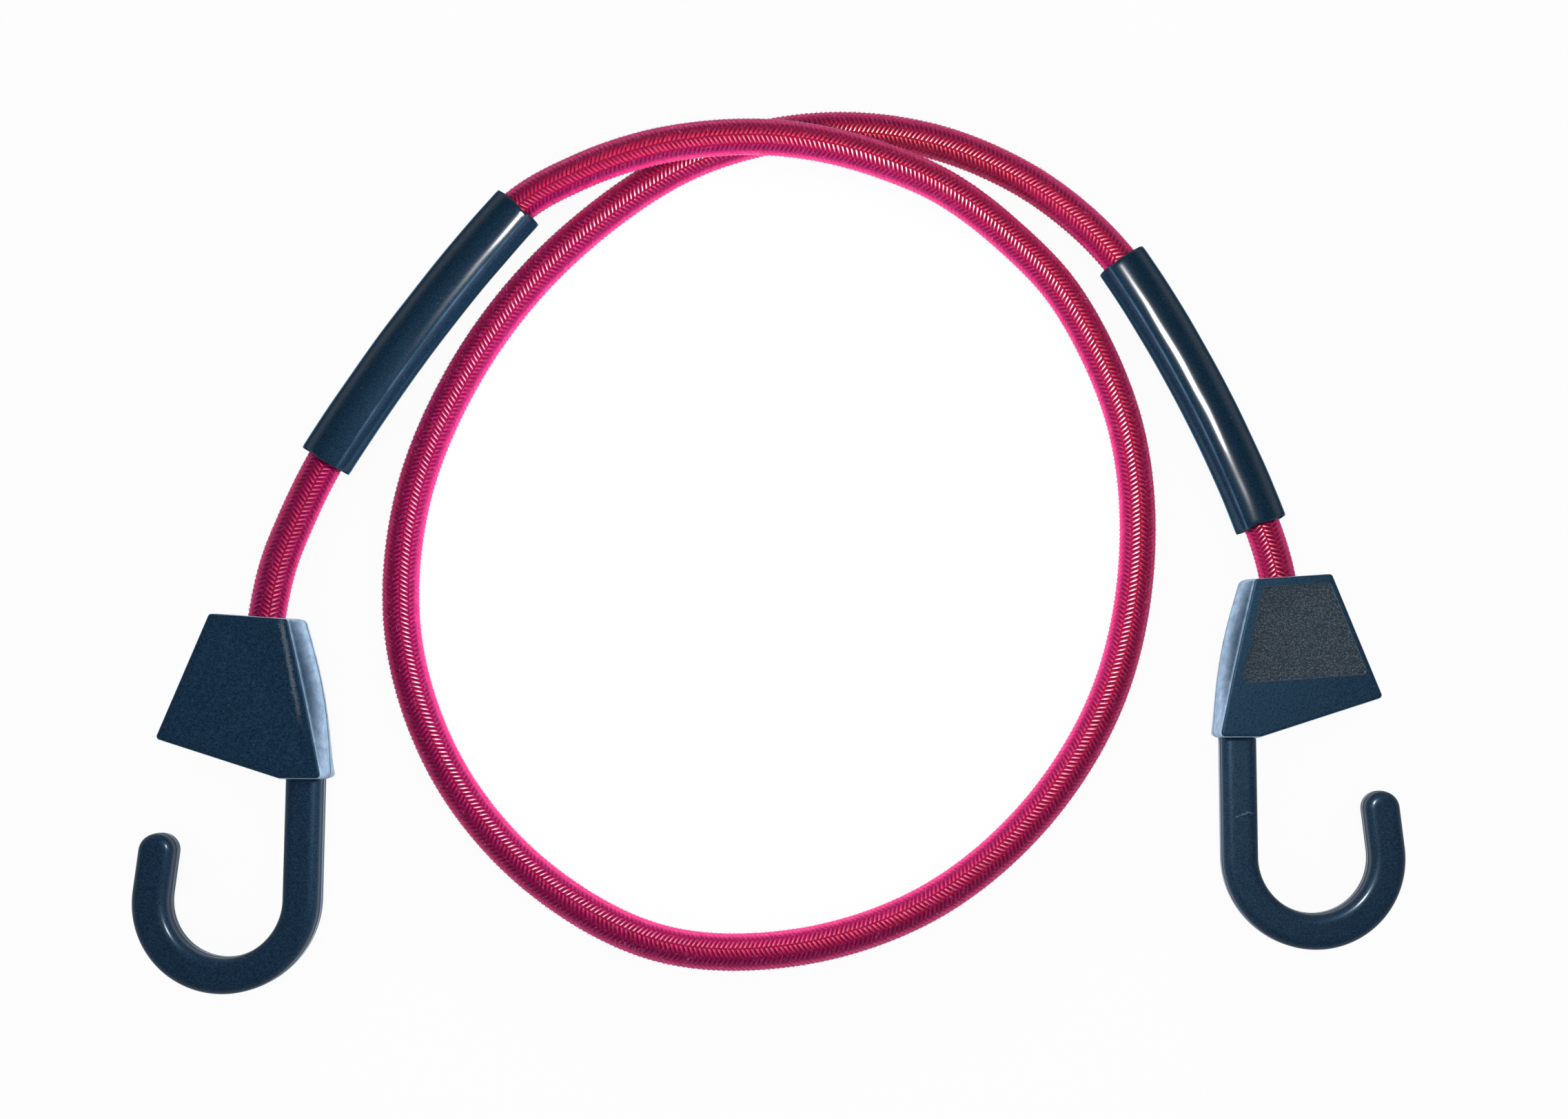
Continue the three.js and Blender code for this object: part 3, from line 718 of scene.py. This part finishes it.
def fuzz_tree():
    """Short loose fibres that stand off a cover, each a thin closed spike."""
    nodes, given, made = new_tree("cover_fuzz", {
        "Geometry": ["Cover"],
        "Int": ["Seed"],
        "Float": ["Density", "Least Tilt", "Length", "Thickness", "Spread"],
        "Material": ["Material"],
    })
    _, _, tilt = nodes.split(nodes.add("GeometryNodeInputNormal").outputs[0])
    roots = nodes.add("GeometryNodeDistributePointsOnFaces", {
        "Mesh": given["Cover"], "Selection": nodes.math("GREATER_THAN", tilt, given["Least Tilt"]),
        "Density": given["Density"], "Seed": given["Seed"],
    })
    fibre = nodes.add("GeometryNodeMeshCone", {
        "Vertices": 3, "Radius Top": 0.0, "Radius Bottom": given["Thickness"], "Depth": given["Length"],
    })
    corners = {"Min": (-1.0, -1.0, -1.0), "Max": (1.0, 1.0, 1.0)}
    lean = nodes.add("FunctionNodeRandomValue", corners, data_type="FLOAT_VECTOR").outputs[0]
    aside = nodes.vector("SCALE", lean, Scale=given["Spread"])
    aim = nodes.vector("ADD", roots.outputs["Normal"], aside)
    turned = nodes.add("FunctionNodeAlignRotationToVector", {"Vector": aim}, axis="Z")
    # Sockets 2 and 3 are the least and the greatest number
    size = nodes.add("FunctionNodeRandomValue", {2: 0.35, 3: 1.0}, data_type="FLOAT").outputs[1]
    placed = nodes.add("GeometryNodeInstanceOnPoints", {
        "Points": roots.outputs["Points"], "Instance": fibre.outputs["Mesh"],
        "Rotation": turned.outputs[0], "Scale": nodes.combine(1.0, 1.0, size),
    })
    return end_tree(nodes, made, placed.outputs[0], given["Material"])


def fibre_ground(cord, line):
    """A copy of the cover without the lengths that the sleeves slide over."""
    mesh = cord.data.copy()
    places = np.empty(3 * len(mesh.vertices))
    mesh.vertices.foreach_get("co", places)
    places = places.reshape(-1, 3)
    covered = np.zeros(len(places), bool)
    for sizes in SLEEVES.values():
        start, end = np.array(sizes["start"]), np.array(sizes["end"])
        length = np.linalg.norm(end - start)
        along, across = (end - start) / length, (start - end)[::-1] / length * (1, -1)
        offsets = line[:, :2] - start
        beside = np.abs(offsets @ along - length / 2) < length / 2 + SLEEVE_SLIDE
        run = line[beside & (np.abs(offsets @ across) < SLEEVE_RADIUS)]
        for point in run[::2]:
            covered |= ((places - point) ** 2).sum(axis=1) < FUZZ_CLEAR_RADIUS**2
    bm = bmesh.new()
    bm.from_mesh(mesh)
    bm.verts.ensure_lookup_table()
    bmesh.ops.delete(bm, geom=[bm.verts[int(i)] for i in np.flatnonzero(covered)], context="VERTS")
    bm.to_mesh(mesh)
    bm.free()
    return mesh


def cord_end(side):
    """Places along the cord from its end in a housing out to the mouth."""
    distances = (CORD_IN_HOUSING, CORD_IN_HOUSING / 2, 0)
    return [HOOK_PLACES[side] @ Vector((*(MOUTH + INWARD * d), MIDDLE)) for d in distances]


def add_cord():
    points = cord_end("left") + CORD_ROUTE + cord_end("right")[::-1]
    line = smooth_line(points, CORD_LINE_STEPS)
    length = float(np.linalg.norm(np.diff(line, axis=0), axis=1).sum())
    cord = grown("braided_cord", line_object("cord_line", line), braid_tree(), {
        "Rows": 2 * int(length / YARN_SPACING) + 1, "Yarn Spacing": YARN_SPACING,
        "Sides": COLUMNS * SIDES_PER_COLUMN + 1, "Sides Per Column": SIDES_PER_COLUMN, "Columns": COLUMNS,
        "Radius": COVER_RADIUS, "Rise": YARN_RISE, "Dip": YARN_DIP, "Flatness": YARN_FLATNESS,
        "First Angle": FIRST_COLUMN_ANGLE, "Twist": TWIST_PER_METRE, "Material": WOVEN_COVER,
    })
    fuzz = grown("cord_fuzz", new_object("cover_base", fibre_ground(cord, line)), fuzz_tree(), {
        "Density": FUZZ_PER_SQUARE_METRE, "Seed": FUZZ_SEED, "Length": FUZZ_LENGTH,
        "Least Tilt": FUZZ_LEAST_TILT, "Thickness": FUZZ_THICKNESS, "Spread": FUZZ_SPREAD,
        "Material": FUZZ_FIBRE,
    })
    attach(fuzz, "strap")
    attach(cord, "strap")
    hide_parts("cord_cover", "cord_core")


add_cord()


# Hooks: mesh helpers


def inset(outline, distance):
    """The outline moved inwards."""
    moved = []
    for i, point in enumerate(outline):
        into = (point - outline[i - 1]).normalized()
        away = (outline[(i + 1) % len(outline)] - point).normalized()
        normal = Vector((-into.y - away.y, into.x + away.x)).normalized()
        moved.append(point + normal * (distance / (normal.x * -into.y + normal.y * into.x)))
    return moved


def with_sides_out(corners, distances):
    """The corners with each side, from its corner to the next, moved outwards by its own distance."""
    lines = []
    for i, corner in enumerate(corners):
        along = (corners[(i + 1) % len(corners)] - corner).normalized()
        lines.append((corner + Vector((along.y, -along.x)) * distances[i], along))
    moved = []
    for i, (place, along) in enumerate(lines):
        before, before_along = lines[i - 1]
        share = (place - before).cross(along) / before_along.cross(along)
        moved.append(before + before_along * share)
    return moved


def arc(centre, radius, start, end, steps):
    angles = np.linspace(start, end, steps + 1)
    return [Vector((centre[0] + radius * math.cos(a), centre[1] + radius * math.sin(a))) for a in angles]


def rounded(corners, radius):
    outline = []
    for i, corner in enumerate(corners):
        to_before = (corners[i - 1] - corner).normalized()
        to_after = (corners[(i + 1) % len(corners)] - corner).normalized()
        half = to_before.angle(to_after) / 2
        centre = corner + (to_before + to_after).normalized() * (radius / math.sin(half))
        spoke = corner + to_before * (radius / math.tan(half)) - centre
        first = math.atan2(spoke.y, spoke.x)
        outline += arc(centre, radius, first, first + math.pi - 2 * half, CORNER_STEPS)
    return outline


def flat_ring(outline, z):
    return [Vector((point.x, point.y, z)) for point in outline]


def piece_from(name, bm, *materials):
    mesh = bpy.data.meshes.new(name)
    bm.to_mesh(mesh)
    bm.free()
    for material in materials:
        mesh.materials.append(material)
    return new_object(name, mesh)


def lofted(name, rings, *materials):
    """A closed skin through rings with as many points each, in order, with a cap at both ends."""
    bm = bmesh.new()
    loops = [[bm.verts.new(point) for point in ring] for ring in rings]
    count = len(loops[0])
    bm.faces.new(loops[0][::-1])
    bm.faces.new(loops[-1])
    for low, high in zip(loops, loops[1:]):
        for i in range(count):
            bm.faces.new((low[i], low[(i + 1) % count], high[(i + 1) % count], high[i]))
    return piece_from(name, bm, *materials)


def combine(piece, operation, *others):
    """The piece with other solids joined to it or cut from it."""
    for other in others:
        boolean = piece.modifiers.new("combine", "BOOLEAN")
        boolean.operation = operation
        boolean.solver = "EXACT"
        boolean.object = other
    mesh = plain_mesh(piece)
    piece.modifiers.clear()
    old = piece.data
    piece.data = mesh
    bpy.data.meshes.remove(old)
    mesh.name = piece.name
    for other in others:
        bpy.data.objects.remove(other)


def finish_mesh(piece):
    """Smooth faces with crisp edges where the surface turns sharply."""
    bm = bmesh.new()
    bm.from_mesh(piece.data)
    bmesh.ops.remove_doubles(bm, verts=bm.verts, dist=VERT_JOIN)
    bmesh.ops.dissolve_degenerate(bm, edges=bm.edges, dist=LEAST_EDGE)
    for face in bm.faces:
        face.smooth = True
    for edge in bm.edges:
        edge.smooth = len(edge.link_faces) == 2 and edge.calc_face_angle() < SHARP_ANGLE
    bm.to_mesh(piece.data)
    bm.free()


# Hooks: the bar, the half shells of the housing and the cord's way in


def bar_outline():
    outer = BAR_RADIUS + BAR_WIDTH / 2
    top = SHANK_LENGTH + SHANK_ROOT
    along = Vector((-math.sin(TIP_LEAN), math.cos(TIP_LEAN)))
    tip = Vector((math.cos(TIP_LEAN), math.sin(TIP_LEAN))) * BAR_RADIUS
    tip += along * ((TIP_REACH - BAR_WIDTH / 2 - tip.y) / along.y)
    return (
        [Vector((-outer, y)) for y in np.linspace(top, 0, SHANK_ROWS, endpoint=False)]
        + arc((0, 0), outer, math.pi, 2 * math.pi + TIP_LEAN, OUTER_STEPS)
        + arc(tip, BAR_WIDTH / 2, TIP_LEAN, math.pi + TIP_LEAN, TIP_STEPS)
        + arc((0, 0), THROAT_RADIUS, TIP_LEAN, -math.pi, THROAT_STEPS)
        + [Vector((-THROAT_RADIUS, y)) for y in np.linspace(0, top, SHANK_ROWS + 1)[1:]]
    )


def quarter(size, steps):
    """Pairs of inset and rise around a rounded edge, from the face to the side."""
    turns = np.linspace(0, math.pi / 2, steps + 1)
    return [(size * (1 - math.sin(a)), size * (1 - math.cos(a))) for a in turns]


def add_bar():
    outline = bar_outline()
    bottom = MIDDLE - BAR_THICKNESS / 2
    levels = [(BAR_EDGE_ROUND + BAR_EDGE_BORDER, 0.0), *quarter(BAR_EDGE_ROUND, BAR_EDGE_STEPS)]
    low = [flat_ring(inset(outline, by), bottom + rise) for by, rise in levels]
    high = [flat_ring(inset(outline, by), bottom + BAR_THICKNESS - rise) for by, rise in levels[::-1]]
    seam = [
        flat_ring(inset(outline, by), MIDDLE + thirds * BAR_SEAM_HALF / 3)
        for by, thirds in ((0, -3), (-BAR_SEAM, -1), (-BAR_SEAM, 1), (0, 3))
    ]
    return lofted("bar", low + seam + high, HOOK_PLASTIC)


FACE_CORNERS = with_sides_out(
    [*HOUSING_CORNERS[:-1], FACE_HEAD_SHANK], 4 * [FACE_DRAFT - THIN_DRAFT] + [0.0]
)


def housing_ring(inset_by, bow, z, share=0.0):
    """An outline of the housing; share runs from the face, at zero, to the parting line."""
    corners = [face.lerp(parting, share) for face, parting in zip(FACE_CORNERS, HOUSING_CORNERS)]
    outline = rounded(inset(corners, inset_by), max(CORNER_ROUND - inset_by, CORNER_ROUND_LEAST))
    start, end = outline[-1], outline[0]
    side = end - start
    outwards = Vector((side.y, -side.x)).normalized()
    for along in np.linspace(0, 1, BOW_STEPS + 1)[1:-1]:
        outline.append(start + side * along + outwards * bow * math.sin(math.pi * along))
    return flat_ring(outline, z)


def shell_rings(top, sunk):
    """Rings of a half shell from its face at zero up to the parting line. A sunk face has a rim."""
    rings = []
    if sunk:
        rings.append(housing_ring(FACE_DRAFT + FACE_RIM + FACE_SLOPE, FACE_BOW, FACE_SINK))
        rings.append(housing_ring(FACE_DRAFT + FACE_RIM + FACE_RIM_BORDER, FACE_BOW, HAIR))
        rings.append(housing_ring(FACE_DRAFT + FACE_RIM, FACE_BOW, 0.0))
    rings.append(housing_ring(FACE_DRAFT + FACE_EDGE + FACE_EDGE_BORDER, FACE_BOW, 0.0))
    for by, rise in quarter(FACE_EDGE, FACE_EDGE_STEPS):
        rings.append(housing_ring(FACE_DRAFT + by, FACE_BOW, rise))
    lip = top - LIP_ROUND
    for up in np.linspace(0, 1, WALL_STEPS + 1)[1:]:
        share = 1 - (1 - up) ** 2
        bow = FACE_BOW + (WALL_BOW - FACE_BOW) * share
        rings.append(housing_ring(FACE_DRAFT * (1 - share), bow, FACE_EDGE + (lip - FACE_EDGE) * up, share))
    for by, rise in quarter(LIP_ROUND, LIP_STEPS)[-2::-1]:
        rings.append(housing_ring(by, WALL_BOW, top - rise, 1.0))
    rings.append(housing_ring(LIP_ROUND + LIP_BORDER, WALL_BOW, top, 1.0))
    return rings


def block(name, low, high):
    """A box between two corners."""
    (west, south, bottom), (east, north, top) = low, high
    corners = [Vector(c) for c in ((west, south), (east, south), (east, north), (west, north))]
    return lofted(name, [flat_ring(corners, bottom), flat_ring(corners, top)], HOOK_PLASTIC)


def cord_passage():
    """The room that the cord, its crimp and the flared mouth take out of both half shells."""
    outside = -HEAD_RISE - CUT_OVERRUN
    flare = MOUTH_FLARE * (MOUTH_FLARE_DEPTH - outside) / MOUTH_FLARE_DEPTH
    end = CORD_IN_HOUSING + SEAT_GAP
    profile = [
        (BORE_RADIUS + flare, outside), (BORE_RADIUS, MOUTH_FLARE_DEPTH), (BORE_RADIUS, POCKET[0]),
        (POCKET_RADIUS, POCKET[0]), (POCKET_RADIUS, POCKET[1]), (BORE_RADIUS, POCKET[1]), (BORE_RADIUS, end),
    ]
    axis = INWARD.to_3d()
    aside = Vector((math.cos(CORD_LEAN), math.sin(CORD_LEAN), 0))
    middle = Vector((*MOUTH, MIDDLE))
    angles = np.linspace(0, 2 * math.pi, BORE_SIDES, endpoint=False)
    circle = [aside * math.cos(a) + Vector((0, 0, math.sin(a))) for a in angles]
    rings = [[middle + axis * depth + spoke * radius for spoke in circle] for radius, depth in profile]
    return lofted("cord_passage", rings, HOOK_PLASTIC)


def panel_cutter():
    """What the recessed panel takes out of the cover's face."""
    corners = [
        FOOT_SHANK.lerp(FACE_HEAD_SHANK, PANEL_FOOT_SHARES[0]),
        FOOT_TIP.lerp(HEAD_TIP, PANEL_FOOT_SHARES[1]),
        HEAD_TIP,
        FACE_HEAD_SHANK,
    ]
    floor = HOUSING_THICKNESS - PANEL_DEPTH
    levels = [
        (0.3 * MM, floor), (0.2 * MM, floor + 0.04 * MM), (0.0, floor + 0.25 * MM),
        (-0.2 * MM, HOUSING_THICKNESS + CUT_OVERRUN),
    ]
    rings = []
    for shrink, z in levels:
        borders = [-border - shrink for border in PANEL_BORDERS]
        rings.append(flat_ring(rounded(with_sides_out(corners, borders), PANEL_ROUND), z))
    return lofted("panel", rings, HOOK_PLASTIC)


def add_hook(side):
    body_top = MIDDLE - PARTING_GAP / 2
    body = lofted(f"hook_moulding_{side}", shell_rings(body_top, sunk=True), HOOK_PLASTIC)
    bar = add_bar()
    cover_side = block(
        "cover_side",
        (-BAR_RADIUS - FOOT_WIDTH / 2, SHANK_LENGTH - FOOT_GAP, body_top),
        (-BAR_RADIUS + FOOT_WIDTH / 2, SHANK_LENGTH + SHANK_SIDE_HEIGHT, 2 * HOUSING_THICKNESS),
    )
    combine(bar, "DIFFERENCE", cover_side)
    combine(body, "UNION", bar)
    combine(body, "DIFFERENCE", cord_passage())
    rings = shell_rings(body_top, sunk=False)[::-1]
    turned = [[Vector((p.x, p.y, HOUSING_THICKNESS - p.z)) for p in ring] for ring in rings]
    cover = lofted(f"housing_cover_{side}", turned, HOOK_PLASTIC, PANEL_GRAIN)
    combine(cover, "DIFFERENCE", panel_cutter(), cord_passage())
    floor = HOUSING_THICKNESS - PANEL_DEPTH
    panel_middle = (FOOT_MIDDLE + HEAD_TIP) / 2
    for face in cover.data.polygons:
        sunk = floor - HAIR < face.center.z < HOUSING_THICKNESS - HAIR and face.normal.z > PANEL_LEAST_TILT
        inwards = face.normal.xy.dot(panel_middle - face.center.xy) > 0
        if sunk and (inwards or face.normal.z > PANEL_FLAT_TILT):
            face.material_index = 1
    for piece, node in ((body, f"hook_{side}"), (cover, f"hook_cover_{side}")):
        finish_mesh(piece)
        piece.data.transform(HOOK_PLACES[side])
        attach(piece, "strap")
        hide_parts(node)


for side in ("left", "right"):
    add_hook(side)


# Sleeves: creased tubes grown along their bowed axes


def sleeve_tree():
    """A tube with two creases and cut ends: rows of verts out along the skin and back along the bore."""
    nodes, given, made = new_tree("creased_sleeve", {
        "Geometry": ["Line"],
        "Int": ["Rows", "Sides"],
        "Float": [
            "Length", "Radius", "Wall", "Lip", "Ripple", "Cut", "Seed",
            "Crease Height", "Crease Spread", "Crease Angle",
        ],
        "Material": ["Material"],
    })
    rows = nodes.scaled(given["Rows"], 2.0, 1.0)
    sides = nodes.plus(given["Sides"], 1.0)
    grid = nodes.add("GeometryNodeMeshGrid", {"Vertices X": rows, "Vertices Y": sides})
    row, side = row_and_side(nodes, sides)
    angle = nodes.times(nodes.math("DIVIDE", side, given["Sides"]), 2 * math.pi)
    cosine = nodes.math("COSINE", angle)
    sine = nodes.math("SINE", angle)
    last = nodes.minus(given["Rows"], 1.0)
    back = nodes.minus(nodes.scaled(given["Rows"], 2.0, -1.0), row)
    beyond = nodes.math("GREATER_THAN", row, nodes.plus(last, 0.5))
    wrapped = nodes.math("LESS_THAN", back, -0.5)
    inside = nodes.times(beyond, nodes.minus(1.0, wrapped))
    step = nodes.math("MAXIMUM", nodes.math("MINIMUM", row, back), 0.0)
    share = nodes.math("DIVIDE", step, last)
    first_step = nodes.math("LESS_THAN", step, 0.5)
    last_step = nodes.math("GREATER_THAN", step, nodes.minus(last, 0.5))
    at_end = nodes.math("MAXIMUM", first_step, last_step)
    turn = nodes.math("SINE", nodes.minus(angle, given["Crease Angle"]))
    from_crease = nodes.math("ABSOLUTE", nodes.math("ARCSINE", turn))
    fall = nodes.minus(1.0, nodes.math("DIVIDE", from_crease, given["Crease Spread"]))
    crease = nodes.math("POWER", nodes.math("MAXIMUM", fall, 0.0), 2.0)

    def waver(stretch, scale, detail, size):
        """An unevenness around the skin that changes along it."""
        spot = nodes.combine(cosine, sine, nodes.scaled(share, stretch, given["Seed"]))
        return nodes.times(nodes.minus(nodes.noise(spot, scale, detail), 0.5), size)

    ripple = waver(5.0, 0.8, 1.0, given["Ripple"])
    cut = waver(40.0, 0.9, 0.0, given["Cut"])
    lip = nodes.times(nodes.times(at_end, nodes.scaled(inside, -2.0, 1.0)), given["Lip"])
    creased = nodes.scaled(crease, given["Crease Height"], given["Radius"])
    radius = nodes.plus(creased, ripple)
    radius = nodes.minus(radius, nodes.times(inside, given["Wall"]))
    radius = nodes.minus(radius, lip)
    from_middle = nodes.math("ABSOLUTE", nodes.scaled(share, 2.0, -1.0))
    moved = nodes.times(cut, nodes.math("POWER", from_middle, 8.0))
    distance = nodes.plus(nodes.times(share, given["Length"]), moved)
    rightwards = nodes.times(cosine, radius)
    upwards = nodes.times(sine, radius)
    place = beside_line(nodes, given["Line"], distance, rightwards, upwards)
    return end_tube_tree(
        nodes, made, grid, place, given["Material"], "crease", crease, data_type="FLOAT", domain="POINT",
    )


def add_sleeve(node, tree, start, end, bow, seed):
    angles = np.linspace(0, 2 * math.pi, 30, endpoint=False)
    creases = [max(0.0, 1 - abs(math.asin(math.sin(a - CREASE_ANGLE))) / CREASE_SPREAD) ** 2 for a in angles]
    lift = -min((SLEEVE_RADIUS + CREASE_HEIGHT * c) * math.sin(a) for c, a in zip(creases, angles))
    start, end = Vector((*start, lift)), Vector((*end, lift))
    run = end - start
    sideways = Vector((run.y, -run.x, 0)).normalized()
    control = start.lerp(end, 0.5) - sideways * 2 * bow
    shares = np.linspace(0, 1, SLEEVE_LINE_STEPS + 1)
    line = [start * (1 - t) ** 2 + control * 2 * t * (1 - t) + end * t * t for t in shares]
    length = sum((b - a).length for a, b in zip(line, line[1:]))
    piece = grown(node + "_tube", line_object("sleeve_line", line), tree, {
        "Rows": SLEEVE_ROWS, "Sides": SLEEVE_SIDES, "Length": length, "Radius": SLEEVE_RADIUS,
        "Wall": SLEEVE_WALL, "Lip": SLEEVE_LIP, "Ripple": SLEEVE_RIPPLE, "Cut": SLEEVE_CUT,
        "Crease Height": CREASE_HEIGHT, "Crease Spread": CREASE_SPREAD, "Crease Angle": CREASE_ANGLE,
        "Seed": seed, "Material": SLEEVE_VINYL,
    })
    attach(piece, node)
    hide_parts(node)


creased_sleeve = sleeve_tree()
for node, sizes in SLEEVES.items():
    add_sleeve(node, creased_sleeve, **sizes)


# Floor, lights and world


def add_floor():
    """A white table that the camera and reflections see almost evenly lit."""
    material, nodes, _ = new_material("white_table", {
        "Base Color": TABLE_WHITE, "Roughness": 0.9, "Specular IOR Level": 0.1,
    })
    path = nodes.add("ShaderNodeLightPath").outputs
    seen = nodes.math("MAXIMUM", path["Is Camera Ray"], path["Is Glossy Ray"])
    white = nodes.add("ShaderNodeEmission", {"Color": (1, 1, 1, 1)}).outputs[0]
    lit = nodes.first("BSDF_PRINCIPLED").outputs[0]
    mixed = nodes.add("ShaderNodeMixShader", {0: nodes.times(seen, FLOOR_GLOW), 1: lit, 2: white}).outputs[0]
    nodes.link(mixed, nodes.first("OUTPUT_MATERIAL").inputs["Surface"])
    bm = bmesh.new()
    bmesh.ops.create_grid(bm, x_segments=1, y_segments=1, size=FLOOR_HALF)
    floor = piece_from("floor", bm, material)
    floor.location.z = FLOOR_LEVEL


def add_lamp(name, place, size, watts, diffuse=True, glossy=True, kind="AREA"):
    data = bpy.data.lights.new(name, kind)
    if kind == "AREA":
        data.shape = "DISK"
        data.size = size
    else:
        data.shadow_soft_size = size
    data.energy = watts
    lamp = new_object(name, data)
    lamp.location = place
    lamp.visible_diffuse = diffuse
    lamp.visible_glossy = glossy
    lamp.visible_camera = False


def add_world():
    world = bpy.data.worlds.new("studio")
    bpy.context.scene.world = world
    world.use_nodes = True
    nodes = Nodes(world.node_tree)
    background = nodes.first("BACKGROUND").inputs
    _, _, height = nodes.split(nodes.add("ShaderNodeTexCoord").outputs["Generated"])
    path = nodes.add("ShaderNodeLightPath").outputs
    overhead = nodes.remap(path["Is Glossy Ray"], 0.0, 1.0, 0.55, 0.06)
    horizon = nodes.remap(path["Is Glossy Ray"], 0.0, 1.0, 0.7, 1.0)
    sky = nodes.smooth(height, 0.1, 0.7, horizon, overhead)
    seen = nodes.math("MAXIMUM", sky, path["Is Camera Ray"])
    nodes.link(nodes.combine(seen, seen, seen), background["Color"])


add_floor()
add_lamp("soft_box", (0.0, 0.05, 1.0), size=0.35, watts=2.0, glossy=False)
add_lamp("low_lamp", (0.041, 0.039, 0.19), size=0.025, watts=3.0, diffuse=False)
add_lamp("side_lamp", (-0.008, 0.01, 0.03), size=0.012, watts=0.32, glossy=False, kind="POINT")
add_world()
bpy.context.scene.view_settings.view_transform = "Standard"

for side in ("left", "right"):
    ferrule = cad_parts[f"cord_ferrule_{side}"]
    ferrule.data.materials.clear()
    ferrule.data.materials.append(FERRULE_STEEL)
